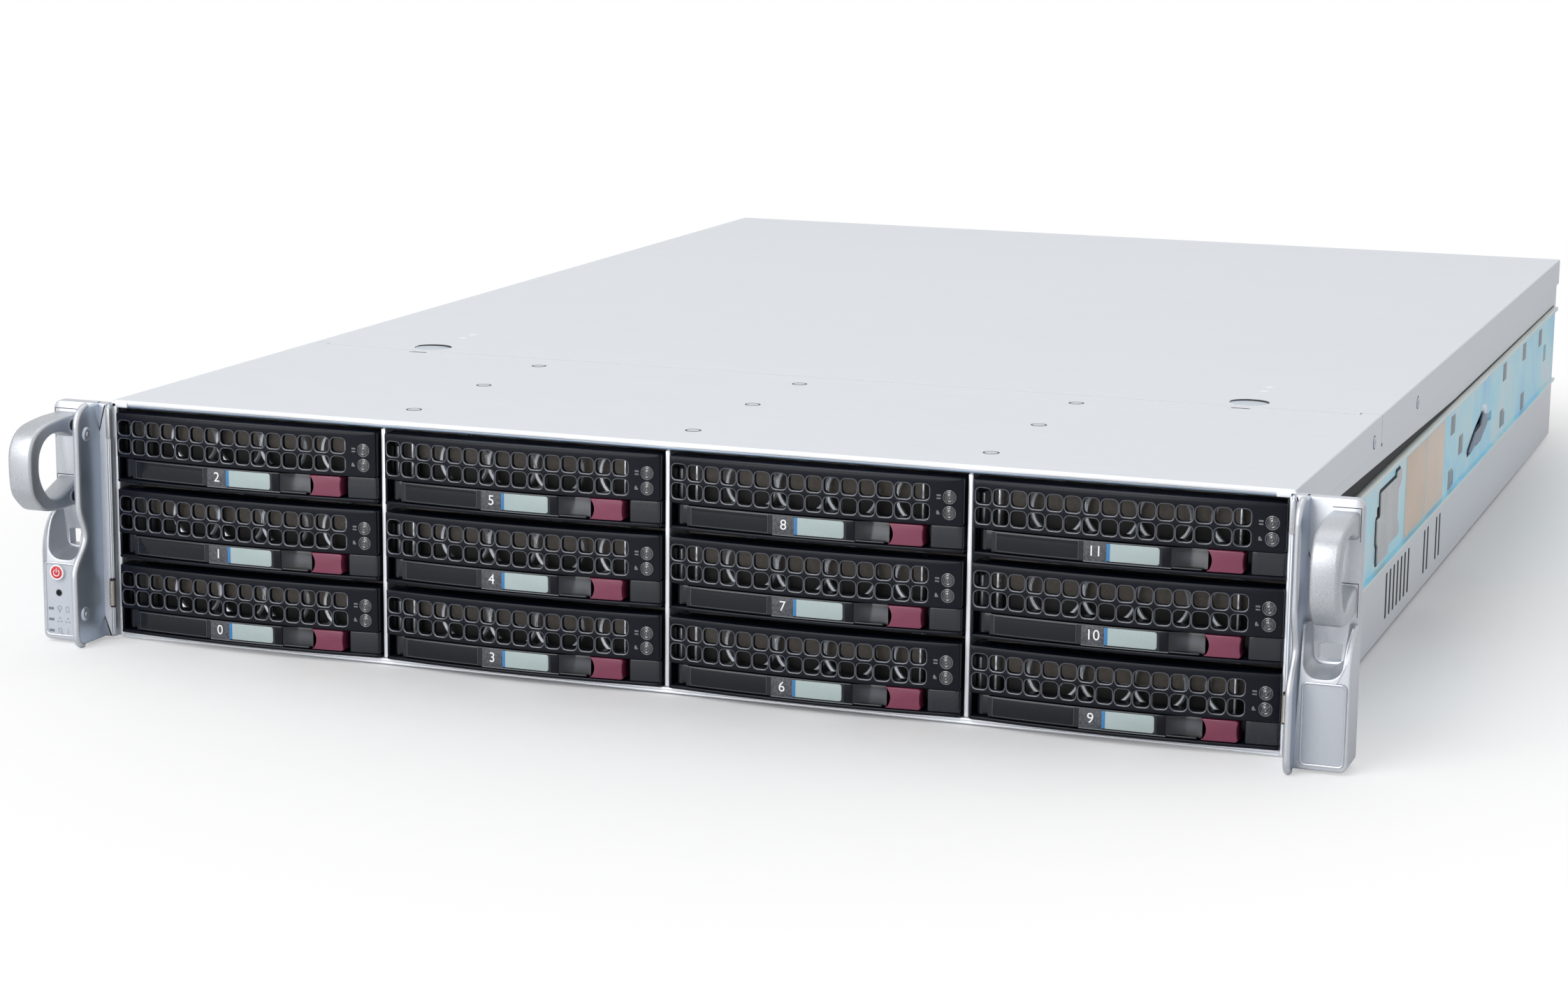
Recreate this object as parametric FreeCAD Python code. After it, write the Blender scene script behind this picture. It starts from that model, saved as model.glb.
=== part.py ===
"""2U rack server with twelve hot-swap drive carriers, modelled as its separate pieces.

Millimetres. X runs to the right as seen from the front, Y to the rear and Z up. The builders
below measure Y from the plane of the chassis front edge. write_node moves every piece so
that the origin is the centre of the chassis underside.
"""

import FreeCAD
import Part
import math
import os

V = FreeCAD.Vector

ROUND_SIDES = 16          # flats on small round pieces that need no smooth face

# Chassis envelope and sheet metal
RACK_WIDTH = 482.6        # over the ears
EAR_REACH = 22.8          # ear edge beyond the chassis side
CHASSIS_WIDTH = RACK_WIDTH - 2 * EAR_REACH
CHASSIS_HEIGHT = 88.9
CHASSIS_DEPTH = 648.0
BASE_SHEET = 1.0
COVER_SHEET = 0.8
FLANGE_SLIP = 0.1         # cover flange to chassis side
COVER_REST = 0.2          # cover underside to the sheets below it
SEAT_GAP = 0.3            # pieces that slide or lift out, to what carries them
COVER_FLANGE = 12.0       # height of the covers' side flanges
FOLD_RADIUS = 1.2
FRONT_HEM = 0.9           # folded hem on the floor's front edge
FRONT_HEM_DEPTH = 6.0
FRONT_LIP = 2.4           # turned-down front edge of the front cover
FRONT_LIP_DEPTH = 1.0

# Top covers
SPLIT_Y = 151.5           # split line between the fixed and the sliding cover
SPLIT_GAP = 0.4
CORNER_STEP_Y = 3.5       # the split steps back beside the side flanges
CORNER_STEP_WIDTH = 7.5
REAR_LIP = 10.0
LIP_PSU_GAP = 1.0         # rear lip above the upper power supply
LATCH_X = 167.7
LATCH_Y = 161.0
LATCH_RADIUS = 7.0
LATCH_CLEARANCE = 0.3
LATCH_SHEET = 0.6
LATCH_TAIL_WIDTH = 9.0
LATCH_TAIL_LENGTH = 24.0
LATCH_RISE = 0.8          # button top above its tongue
CATCH_SLOT = (7.5, 2.0)   # slot in the front cover that the latch hooks into
CATCH_SLOT_Y = 147.5

# Drive bays
COLUMNS = 4
ROWS = 3
CAGE_MARGIN = 1.0         # chassis width left beside the columns
COLUMN_PITCH = (CHASSIS_WIDTH - CAGE_MARGIN) / COLUMNS
ROW_MARGIN = 4.0          # chassis height left above and below the rows
ROW_PITCH = (CHASSIS_HEIGHT - ROW_MARGIN) / ROWS
FIRST_BEZEL_Z = 2.3
DIVIDER_SHEET = 1.0
CAGE_TOP_SHEET = 1.0
CAGE_TOP_DEPTH = 148.5
CAGE_FRONT_INSET = 1.6
LEDGE_REACH = 3.0
LEDGE_SHEET = 0.8
LEDGE_START = 12.0
LEDGE_END = 184.0
BACKPLANE_Y = 193.5
BACKPLANE_SHEET = 1.6
BACKPLANE_INSET = 0.8     # board edge to the chassis side
BACKPLANE_LIFT = 3.2
BACKPLANE_TOP_GAP = 2.1   # board to the cage's top sheet
CONNECTOR = (43.0, 6.4)   # width and height of a drive connector
CONNECTOR_LIFT = 4.0      # connector underside above the drive's underside
CONNECTOR_SIDE = 8.0      # connector's left end from the drive's left side
BOARD_VENT = (62.0, 9.0)

# Drive carrier
BEZEL_GAP = 3.4           # between neighbouring bezels
BEZEL_WIDTH = COLUMN_PITCH - BEZEL_GAP
BEZEL_GAP_Z = 2.6         # between bezels one above the other
BEZEL_HEIGHT = ROW_PITCH - BEZEL_GAP_Z
BEZEL_END_Y = -2.0        # front of the bezel at its two ends
BEZEL_BACK_Y = 6.0
BEZEL_BOW = 3.2           # how far the middle stands in front of the ends
BEZEL_WALL = 1.2
GRILLE_COLUMNS = 15
STRIP_COLUMNS = 3         # grille columns on each flat strip of the bowed front
GRILLE_ROWS = 2
GRILLE_MARGIN = 11.7      # bezel width left beside the grille
HOLE_PITCH_X = (BEZEL_WIDTH - GRILLE_MARGIN) / GRILLE_COLUMNS
HOLE_WEB = 0.96           # bar between neighbouring holes
HOLE_WIDTH = HOLE_PITCH_X - HOLE_WEB
HOLE_WEB_Z = 1.5          # bar between the two rows of holes
HOLE_TOP_MARGIN = 2.05    # bezel height left above the rows of holes
HOLE_LOW_MARGIN = 1.05    # and below them, down to the lever's channel
HOLE_FIRST_X = 3.7        # first hole centre from the bezel's left end
CORNER_NOTCH = (2.6, 2.0)
LEVER_LIP = 1.3           # lip below the lever
LEVER_CHANNEL = 7.9       # height of the lever's channel
CHANNEL_LEFT = 0.9
CHANNEL_BACK_Y = 4.5
FIXED_END_WIDTH = 11.2    # fixed end beside the release tab
FIXED_END_INSET = 0.6
RAIL_SHEET = 1.2
RAIL_INSET = 0.8
RAIL_LIFT = 0.2
RAIL_HEIGHT = 19.8
RAIL_END_Y = 186.0
DRIVE_MARGIN = 2.0        # drive side to the bezel's end
DRIVE_GAP_Z = 2.2         # between drives one above the other
DRIVE_HEIGHT = ROW_PITCH - DRIVE_GAP_Z
DRIVE_LENGTH = 147.0
DRIVE_FRONT_Y = 38.0
DRIVE_LIFT = 0.3

# Carrier lever and release tab
LEVER_LEFT = 6.9
LEVER_END = 14.7          # lever's right end to the fixed end
LEVER_GAP = 0.3
PIVOT_X = 4.3
PIVOT_Y = 1.6
PIVOT_BARREL = 2.2
LEVER_RECESS = 0.2        # lever front behind the bezel's bow
SCOOP_SIDES = 24
SCOOP_RIM = 0.9           # rim below the finger scoop
SCOOP_RADIUS = 15.0
SCOOP_DEPTH = 3.2
SCOOP_FROM_END = 2.0
TAB_GAP = 0.3
TAB_WIDTH = 12.2
TAB_BEVEL = 1.2
TAB_BACK_GAP = 0.3

# Rack ears and handles
EAR_PLATE = 4.0
EAR_BOTTOM = 0.6
EAR_TOP = 88.0
EAR_CORNER = 3.0
EAR_GAP = 0.5             # ear to the chassis side, in front of it
EAR_LEG_SHEET = 2.0
EAR_LEG_LENGTH = 32.0
EAR_LEG_Z = (6.0, 74.0)
EAR_RIB_X = 3.5           # forward flange from the chassis side
EAR_RIB_SHEET = 2.2
EAR_RIB_UPPER = 15.0      # reach in front of the plate
EAR_RIB_NECK = 11.0
EAR_RIB_LOWER = 19.0
EAR_RIB_WAVE = (29.0, 38.0, 42.0, 50.0)   # heights where the front edge bends
EAR_RIB_TOP_ROUND = 7.0
EAR_RIB_FOOT_ROUND = 4.0
POD_TOP = 45.4
POD_DEPTH = 11.0          # pod front in front of the plate
PANEL_RECESS = 0.4
PANEL_X = (1.5, 1.6)      # panel margins to the rib and to the outer edge
PANEL_Z = (2.2, 29.6)
SCOOP_MARGIN = 1.4
SCOOP_TAPER = 2.2
SCOOP_CORNER = 4.6
SCOOP_FLOOR_Z = 31.2
SLOT_INSET = 8.75         # slot centre from the ear's outer edge
SLOT_Z = 37.4
SLOT_LENGTH = 10.3
SLOT_RADIUS = 3.0
HANDLE_WIDTH = 8.8
HANDLE_INSET = 2.2        # handle from the ear's outer edge
HANDLE_Z = (50.0, 84.0)
HANDLE_FRONT = 33.0       # grip front in front of the plate
HANDLE_BAR = 6.3
HANDLE_ROOT = 9.2
HANDLE_CORNER = 13.0
HANDLE_INNER_CORNER = 8.0
BUTTON_INSET = 6.9        # button centres from the ear's outer edge
POWER_Z = 26.2
POWER_RADIUS = 2.9
RESET_Z = 18.3
RESET_RADIUS = 1.0
BUTTON_CLEARANCE = 0.15
POWER_PROUD = 1.4
RESET_SUNK = 0.5
BUTTON_LENGTH = 6.0
BUTTON_WELL = 8.5

# Side rails and side vents
RAIL_Z = (29.7, 66.2)
RAIL_WEB = 1.2
RAIL_LIP = 2.6
RAIL_START_Y = 40.0
RAIL_REAR_GAP = 10.0
RAIL_CUTOUTS = ((150, 48, 12, 14), (321, 58, 7, 6), (321, 35, 7, 6), (405, 45, 26, 4),
                (466, 59, 7, 6), (466, 37, 7, 6), (600, 48, 9, 8))
VENT_SLOT = (2.6, 17.3)
VENT_Z = 6.2
VENT_PITCH = 8.0
VENT_STARTS = (183.0, 268.0, 297.0)
VENT_COUNTS = (7, 2, 2)

# Fans
FAN_TOP_GAP = 7.1         # fan housing to the cover
FAN_DEPTH = 38.0
FAN_Y = 232.0
FAN_SIDE_GAP = 21.6       # first fan to the chassis side
FAN_END_GAP = 28.2        # last fan to the power supply bay
FAN_COUNT = 3
FAN_RIM = 2.0             # housing wall beside the bore
FAN_HUB = 18.0
BLADE_SINK = 3.6          # how far a blade reaches into the hub
FAN_BLADES = 7
FAN_TIP_GAP = 1.4
FAN_SHAFT = 2.0
FAN_SHAFT_CLEARANCE = 0.2
BORE_SIDES = 10
FAN_BORE_SIDES = 20
FAN_SHAFT_LENGTH = 9.0
FAN_CROSS_WIDTH = 7.0
FAN_CROSS_DEPTH = 3.0
FAN_CROSS_GAP = 0.8
IMPELLER_DEPTH = 28.0
BLADE_SHARE = 0.8
BLADE_THICKNESS = 1.8
BLADE_PITCH_DEG = 38.0
FAN_WALL_GAP = 1.0
FAN_WALL_DROP = 3.9       # fan wall's top edge below the chassis walls
FAN_WINDOW_INSET = 2.0

# Main board
BOARD_SIDE_GAP = 11.6
BOARD_BAY_GAP = 37.2      # board to the power supply bay
BOARD_START_Y = 310.0
BOARD_REAR_GAP = 8.0
BOARD_Z = 7.0
BOARD_SHEET = 1.6
STANDOFF_RADIUS = 3.0
STANDOFF_MARGIN = 8.0
SOCKET = (58.0, 62.0, 5.0)
HEATSINK_INSET = (70.0, 73.0)   # first from the board's left edge, second from its right
HEATSINK_SETBACK = 95.0         # centres behind the board's front edge
HEATSINK_SIZE = 92.0
HEATSINK_BASE = 4.0
HEATSINK_HEIGHT = 62.0
FIN_COUNT = 9
FIN_THICKNESS = 2.0
MEMORY_LENGTH = 133.0
MEMORY_HEIGHT = 33.0
MEMORY_THICKNESS = 5.4
MEMORY_COUNT = 5
CARD_SLOT = (7.4, 85.0, 11.0)
CARD_SLOT_SETBACK = 120.0       # card slots' front from the board's rear edge
IO_PORT_WIDTHS = (15.0, 34.0, 16.0, 17.0, 17.0)
IO_PORT_GAP = 4.0
IO_PORT_START = 6.0
IO_PORT_DEPTH = 24.0
IO_PORT_HEIGHT = 28.0

# Rear wall
IO_OPENING_WIDTH = 158.8
IO_OPENING_BAY_GAP = 16.4
IO_OPENING_Z = (3.0, 47.5)
SLOT_COVERS = 7
SLOT_COVER_PITCH = 20.32
SLOT_COVER_INSET = 26.6   # first slot's centre from the chassis side
SLOT_COVER_WIDTH = 18.4
SLOT_COVER_SHEET = 0.9
SLOT_COVER_Z = (5.0, 84.0)
SLOT_COVER_TAB = 11.0
SLOT_OPENING_WIDTH = 13.0
SLOT_OPENING_MARGIN = 4.0

# Power supplies
PSU_WALL_LEAD = 12.0      # bay partition in front of the modules
PSU_WIDTH = 76.4
PSU_TOP_GAP = 4.2         # upper module to the cover
PSU_CASE_SHEET = 1.2
PSU_SHEET_X = 0.4         # module to the bay wall
PSU_SIDE_GAP = 1.6        # module to the chassis side
PSU_SHELF = 1.0
PSU_SHELF_GAP = 1.3       # air between the lower module and the shelf
PSU_LENGTH = 337.0
PSU_FLUSH = 1.0           # module rear face behind the chassis rear
PSU_INLET = (27.0, 20.0, 16.0)
PSU_INLET_X = 6.0
PSU_INLET_LIFT = 10.0
PSU_FAN_RADIUS = 14.5
PSU_FAN_X = 52.5
PSU_FAN_POCKET = 2.0
PSU_HANDLE_X = 36.0
PSU_HANDLE_BAR = 3.0
PSU_HANDLE_REACH = 18.0
PSU_HANDLE_Z = (5.0, 35.0)
PSU_LATCH_X = 69.0
PSU_LATCH_WIDTH = 3.2
PSU_LATCH_HEIGHT = 18.0
PSU_LATCH_REACH = 12.0
PSU_LATCH_Z = 11.0
PSU_LATCH_POCKET = 6.0
PSU_LATCH_TRAVEL = 3.0

# Worked-out places
HALF_WIDTH = CHASSIS_WIDTH / 2
SIDE_OUT = HALF_WIDTH - COVER_SHEET - FLANGE_SLIP
SIDE_IN = SIDE_OUT - BASE_SHEET
COVER_UNDER = CHASSIS_HEIGHT - COVER_SHEET
WALL_TOP = COVER_UNDER - COVER_REST
LATCH_UNDER = COVER_UNDER - SEAT_GAP - LATCH_SHEET
CAGE_TOP_UNDER = WALL_TOP - CAGE_TOP_SHEET
BACKPLANE_Z = (BACKPLANE_LIFT, CAGE_TOP_UNDER - BACKPLANE_TOP_GAP)
CHANNEL_TOP = LEVER_LIP + LEVER_CHANNEL
HOLE_PITCH_Z = (BEZEL_HEIGHT - CHANNEL_TOP - HOLE_TOP_MARGIN - HOLE_LOW_MARGIN) / GRILLE_ROWS
HOLE_HEIGHT = HOLE_PITCH_Z - HOLE_WEB_Z
HOLE_TOP_DROP = HOLE_TOP_MARGIN + HOLE_PITCH_Z / 2
HOLE_RIGHT_X = HOLE_FIRST_X + (GRILLE_COLUMNS - 0.5) * HOLE_PITCH_X
FIXED_END_X = BEZEL_WIDTH - FIXED_END_WIDTH
LEVER_RIGHT = FIXED_END_X - LEVER_END
DRIVE_WIDTH = BEZEL_WIDTH - 2 * DRIVE_MARGIN
DRIVE_BACK_Y = DRIVE_FRONT_Y + DRIVE_LENGTH
EAR_FRONT = -EAR_PLATE
POD_FRONT = EAR_FRONT - POD_DEPTH
RIB_IN = HALF_WIDTH + EAR_RIB_X
RIB_OUT = RIB_IN + EAR_RIB_SHEET
RACK_EDGE = RACK_WIDTH / 2
SLOT_SPACING = RACK_WIDTH - 2 * SLOT_INSET
HANDLE_X = (RACK_EDGE - HANDLE_INSET - HANDLE_WIDTH, RACK_EDGE - HANDLE_INSET)
BUTTON_X = RACK_EDGE - BUTTON_INSET
RAIL_LENGTH = CHASSIS_DEPTH - RAIL_START_Y - RAIL_REAR_GAP
PSU_X = SIDE_IN - PSU_SIDE_GAP - PSU_WIDTH
PSU_WALL_X = PSU_X - PSU_SHEET_X - BASE_SHEET
PSU_REAR_Y = CHASSIS_DEPTH + PSU_FLUSH
PSU_START_Y = PSU_REAR_Y - PSU_LENGTH
PSU_WALL_START = PSU_START_Y - PSU_WALL_LEAD
FAN_SIZE = COVER_UNDER - BASE_SHEET - FAN_TOP_GAP
FAN_BORE = FAN_SIZE / 2 - FAN_RIM
FAN_WALL_HEIGHT = WALL_TOP - FAN_WALL_DROP
FAN_WINDOW = FAN_SIZE - 2 * FAN_WINDOW_INSET
BLADE_ROOT = FAN_HUB - BLADE_SINK
FAN_FIRST_X = -SIDE_IN + FAN_SIDE_GAP + FAN_SIZE / 2
FAN_LAST_X = PSU_WALL_X - FAN_END_GAP - FAN_SIZE / 2
FAN_PITCH = (FAN_LAST_X - FAN_FIRST_X) / (FAN_COUNT - 1)
BOARD_X = (-SIDE_IN + BOARD_SIDE_GAP, PSU_WALL_X - BOARD_BAY_GAP)
BOARD_Y = (BOARD_START_Y, CHASSIS_DEPTH - BOARD_REAR_GAP)
BOARD_TOP = BOARD_Z + BOARD_SHEET
HEATSINK_X = (BOARD_X[0] + HEATSINK_INSET[0], BOARD_X[1] - HEATSINK_INSET[1])
HEATSINK_Y = BOARD_START_Y + HEATSINK_SETBACK
MEMORY_PITCH = (HEATSINK_X[1] - HEATSINK_X[0] - HEATSINK_SIZE) / MEMORY_COUNT
MEMORY_FIRST_X = HEATSINK_X[0] + HEATSINK_SIZE / 2 + MEMORY_PITCH / 2
CARD_SLOT_Y = BOARD_Y[1] - CARD_SLOT_SETBACK
IO_OPENING_X = (PSU_WALL_X - IO_OPENING_BAY_GAP - IO_OPENING_WIDTH,
                PSU_WALL_X - IO_OPENING_BAY_GAP)
SLOT_COVER_FIRST_X = -SIDE_IN + SLOT_COVER_INSET
PSU_HEIGHT = (COVER_UNDER - PSU_TOP_GAP - BASE_SHEET - 2 * SEAT_GAP - PSU_SHELF_GAP
              - PSU_SHELF) / 2
PSU_LEVELS = (BASE_SHEET + SEAT_GAP,
              BASE_SHEET + 2 * SEAT_GAP + PSU_HEIGHT + PSU_SHELF_GAP + PSU_SHELF)


def box(x0, x1, y0, y1, z0, z1):
    """Axis-aligned block between the given limits."""
    return Part.makeBox(x1 - x0, y1 - y0, z1 - z0, V(x0, y0, z0))


def prism_z(points, z0, z1):
    """Upright prism over a polygon in the XY plane."""
    outline = Part.makePolygon([V(x, y, z0) for x, y in points + points[:1]])
    return Part.Face(outline).extrude(V(0, 0, z1 - z0))


def prism_x(points, x0, x1):
    """Prism along X over an outline of (y, z) points."""
    outline = Part.makePolygon([V(x0, y, z) for y, z in points + points[:1]])
    return Part.Face(outline).extrude(V(x1 - x0, 0, 0))


def prism_y(points, y0, y1):
    """Prism along Y over an outline of (x, z) points."""
    outline = Part.makePolygon([V(x, y0, z) for x, z in points + points[:1]])
    return Part.Face(outline).extrude(V(0, y1 - y0, 0))


def rod_y(radius, x, z, y0, y1):
    """Cylinder along Y."""
    return Part.makeCylinder(radius, y1 - y0, V(x, y0, z), V(0, 1, 0))


def round_outline(radius, sides):
    """Corners of a regular outline whose flats lie at the given radius."""
    reach = radius / math.cos(math.pi / sides)
    angles = [2 * math.pi * (i + 0.5) / sides for i in range(sides)]
    return [(reach * math.cos(a), reach * math.sin(a)) for a in angles]


def flat_rod_y(radius, x, z, y0, y1, sides=ROUND_SIDES):
    """Rod along Y with flat sides at the given radius."""
    return prism_y([(x + a, z + b) for a, b in round_outline(radius, sides)], y0, y1)


def flat_rod_z(radius, x, y, z0, z1, sides=ROUND_SIDES):
    """Upright rod with flat sides at the given radius."""
    return prism_z([(x + a, y + b) for a, b in round_outline(radius, sides)], z0, z1)


def union(first, *others):
    """Fuse solids into one and merge their coplanar faces."""
    return first.fuse(list(others)).removeSplitter()


def mirrored(shape):
    """The piece's mirror image across the middle of the chassis."""
    return shape.mirror(V(0, 0, 0), V(1, 0, 0))


def round_edges(shape, radius, wanted):
    """Fillet the straight edges for which wanted(middle point, direction) holds."""
    chosen = []
    for edge in shape.Edges:
        if isinstance(edge.Curve, Part.Line):
            middle = edge.valueAt((edge.FirstParameter + edge.LastParameter) / 2)
            direction = edge.tangentAt(edge.FirstParameter)
            if wanted(middle, direction):
                chosen.append(edge)
    return shape.makeFillet(radius, chosen)


# ---------------------------------------------------------------- chassis

def bay_x(column):
    """Left edge of the bezels in a column, counted from the left."""
    centre = (column - (COLUMNS - 1) / 2) * COLUMN_PITCH
    return centre - BEZEL_WIDTH / 2


def bay_z(row):
    """Underside of the bezels in a row, counted from the bottom."""
    return FIRST_BEZEL_Z + row * ROW_PITCH


def ledge(x0, x1, row):
    """Runner strip below the carriers of one row."""
    top = bay_z(row) + RAIL_LIFT - SEAT_GAP
    return box(x0, x1, LEDGE_START, LEDGE_END, top - LEDGE_SHEET, top)


def vent_slots():
    """Cutter for the upright slots low in both chassis sides."""
    cutters = []
    for first, count in zip(VENT_STARTS, VENT_COUNTS):
        for i in range(count):
            y = first + i * VENT_PITCH
            cutters.append(box(-SIDE_OUT - 1, SIDE_OUT + 1, y, y + VENT_SLOT[0],
                               VENT_Z, VENT_Z + VENT_SLOT[1]))
    return Part.makeCompound(cutters)


def rear_wall():
    """Rear sheet with the openings for power supplies, ports and expansion cards."""
    y0 = CHASSIS_DEPTH - BASE_SHEET
    wall = box(-SIDE_IN, PSU_WALL_X, y0, CHASSIS_DEPTH, BASE_SHEET, WALL_TOP)
    cutters = [box(*IO_OPENING_X, y0 - 1, CHASSIS_DEPTH + 1, *IO_OPENING_Z)]
    for i in range(SLOT_COVERS):
        x = SLOT_COVER_FIRST_X + i * SLOT_COVER_PITCH
        cutters.append(box(x - SLOT_OPENING_WIDTH / 2, x + SLOT_OPENING_WIDTH / 2, y0 - 1,
                           CHASSIS_DEPTH + 1, SLOT_COVER_Z[0] + SLOT_OPENING_MARGIN,
                           SLOT_COVER_Z[1] - SLOT_OPENING_MARGIN))
    return wall.cut(Part.makeCompound(cutters))


def fan_x(index):
    """Centre of a fan across the chassis."""
    return FAN_FIRST_X + index * FAN_PITCH


def fan_wall():
    """Upright sheet in front of the fans, with a window for each."""
    y1 = FAN_Y - FAN_WALL_GAP
    wall = box(-SIDE_IN, PSU_WALL_X, y1 - BASE_SHEET, y1, BASE_SHEET, FAN_WALL_HEIGHT)
    windows = []
    for i in range(FAN_COUNT):
        x = fan_x(i)
        z0 = BASE_SHEET + FAN_WINDOW_INSET
        windows.append(box(x - FAN_WINDOW / 2, x + FAN_WINDOW / 2, y1 - BASE_SHEET - 1, y1 + 1,
                           z0, z0 + FAN_WINDOW))
    return wall.cut(Part.makeCompound(windows))


def psu_bay():
    """Partition beside the power supplies and the shelf between them."""
    wall = box(PSU_WALL_X, PSU_WALL_X + BASE_SHEET, PSU_WALL_START, CHASSIS_DEPTH,
               BASE_SHEET, WALL_TOP)
    shelf_top = PSU_LEVELS[1] - SEAT_GAP
    shelf = box(PSU_WALL_X + BASE_SHEET, SIDE_IN, PSU_WALL_START, CHASSIS_DEPTH,
                shelf_top - PSU_SHELF, shelf_top)
    return [wall, shelf]


def chassis_base():
    """Folded tray, and the rear wall, fan wall, supply bay and ledges riveted into it."""
    section = [(-SIDE_OUT, WALL_TOP), (-SIDE_OUT, 0), (SIDE_OUT, 0), (SIDE_OUT, WALL_TOP),
               (SIDE_IN, WALL_TOP), (SIDE_IN, BASE_SHEET), (-SIDE_IN, BASE_SHEET),
               (-SIDE_IN, WALL_TOP)]
    tray = prism_y(section, 0, CHASSIS_DEPTH)
    tray = round_edges(tray, FOLD_RADIUS,
                       lambda p, d: abs(d.y) > 0.9 and p.z < 0.1 and abs(p.x) > SIDE_IN)
    hem = box(-SIDE_IN, SIDE_IN, 0, FRONT_HEM_DEPTH, BASE_SHEET, BASE_SHEET + FRONT_HEM)
    ledges = []
    end_gap = SIDE_IN - ((COLUMNS / 2) * COLUMN_PITCH - DIVIDER_SHEET / 2)
    for row in range(1, ROWS):
        ledges.append(ledge(SIDE_IN - LEDGE_REACH - end_gap, SIDE_IN, row))
        ledges.append(ledge(-SIDE_IN, -SIDE_IN + LEDGE_REACH + end_gap, row))
    return [union(tray.cut(vent_slots()), hem), rear_wall(), fan_wall(), *psu_bay(), *ledges]


def cover_outline(y0, y1, y0_side, y1_side, inner):
    """Top sheet between two split lines that step back beyond |x| = inner."""
    points = [(-HALF_WIDTH, y0_side), (-inner, y0_side), (-inner, y0), (inner, y0),
              (inner, y0_side), (HALF_WIDTH, y0_side), (HALF_WIDTH, y1_side), (inner, y1_side),
              (inner, y1), (-inner, y1), (-inner, y1_side), (-HALF_WIDTH, y1_side)]
    tidy = [p for i, p in enumerate(points) if p != points[i - 1]]
    return prism_z(tidy, COVER_UNDER, CHASSIS_HEIGHT)


def cover_flanges(y0, y1):
    """Turned-down side flanges of a cover."""
    inner = HALF_WIDTH - COVER_SHEET
    z0 = CHASSIS_HEIGHT - COVER_FLANGE
    right = box(inner, HALF_WIDTH, y0, y1, z0, COVER_UNDER)
    return [right, mirrored(right)]


def top_fold(p, d):
    """True for the long outer edges where a cover folds down."""
    return abs(d.y) > 0.9 and p.z > CHASSIS_HEIGHT - 0.1 and abs(p.x) > HALF_WIDTH - 0.1


def front_cover():
    """Fixed cover over the drive cage."""
    y1 = SPLIT_Y - SPLIT_GAP / 2
    top = cover_outline(0, y1, 0, y1 + CORNER_STEP_Y, HALF_WIDTH - CORNER_STEP_WIDTH)
    lip_end = SIDE_IN - SEAT_GAP
    lip = box(-lip_end, lip_end, 0, FRONT_LIP_DEPTH, CHASSIS_HEIGHT - FRONT_LIP, COVER_UNDER)
    cover = union(top, lip, *cover_flanges(0, y1 + CORNER_STEP_Y))
    slot_w, slot_l = CATCH_SLOT
    slots = [box(x - slot_w / 2, x + slot_w / 2, CATCH_SLOT_Y - slot_l / 2,
                 CATCH_SLOT_Y + slot_l / 2, COVER_UNDER - 1, CHASSIS_HEIGHT + 1)
             for x in (-LATCH_X, LATCH_X)]
    return round_edges(cover, FOLD_RADIUS / 2, top_fold).cut(Part.makeCompound(slots))


def top_cover():
    """Sliding cover over the rest of the chassis: top sheet, side flanges and rear lip."""
    y0 = SPLIT_Y + SPLIT_GAP / 2
    rear = CHASSIS_DEPTH + COVER_REST
    top = cover_outline(y0, rear + COVER_SHEET, y0 + CORNER_STEP_Y, rear + COVER_SHEET,
                        HALF_WIDTH - CORNER_STEP_WIDTH - SPLIT_GAP)
    notch_x = PSU_X - SEAT_GAP
    lip = box(-SIDE_IN, notch_x, rear, rear + COVER_SHEET, CHASSIS_HEIGHT - REAR_LIP,
              COVER_UNDER)
    short_lip = box(notch_x, SIDE_IN, rear, rear + COVER_SHEET,
                    COVER_UNDER - PSU_TOP_GAP + LIP_PSU_GAP, COVER_UNDER)
    holes = [flat_rod_z(LATCH_RADIUS + LATCH_CLEARANCE, x, LATCH_Y, COVER_UNDER - 1,
                        CHASSIS_HEIGHT + 1) for x in (-LATCH_X, LATCH_X)]
    sheet = round_edges(top, FOLD_RADIUS / 2, top_fold).cut(Part.makeCompound(holes))
    return [sheet, lip, short_lip, *cover_flanges(y0 + CORNER_STEP_Y, rear + COVER_SHEET)]


def cover_latch(x):
    """Spring tongue under the cover with a round button in the cover's hole."""
    half = LATCH_TAIL_WIDTH / 2
    tail = box(x - half, x + half, LATCH_Y, LATCH_Y + LATCH_TAIL_LENGTH, LATCH_UNDER,
               LATCH_UNDER + LATCH_SHEET)
    button = flat_rod_z(LATCH_RADIUS, x, LATCH_Y, LATCH_UNDER,
                        LATCH_UNDER + LATCH_SHEET + LATCH_RISE)
    return union(button, tail)


# ---------------------------------------------------------------- drive cage

def drive_cage():
    """Plate that ties the cage, and the dividers between the columns with their strips."""
    top = box(-SIDE_IN, SIDE_IN, CAGE_FRONT_INSET, CAGE_TOP_DEPTH, CAGE_TOP_UNDER, WALL_TOP)
    dividers = []
    floor_z = BASE_SHEET
    for i in range(1, COLUMNS):
        x = (i - COLUMNS / 2) * COLUMN_PITCH
        half = DIVIDER_SHEET / 2
        front = FRONT_HEM_DEPTH
        profile = [(CAGE_FRONT_INSET, floor_z + FRONT_HEM), (front, floor_z + FRONT_HEM),
                   (front, floor_z), (BACKPLANE_Y, floor_z), (BACKPLANE_Y, CAGE_TOP_UNDER),
                   (CAGE_FRONT_INSET, CAGE_TOP_UNDER)]
        strips = [ledge(x - half - LEDGE_REACH, x + half + LEDGE_REACH, row)
                  for row in range(1, ROWS)]
        dividers.append(union(prism_x(profile, x - half, x + half), *strips))
    return [top, *dividers]


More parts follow.
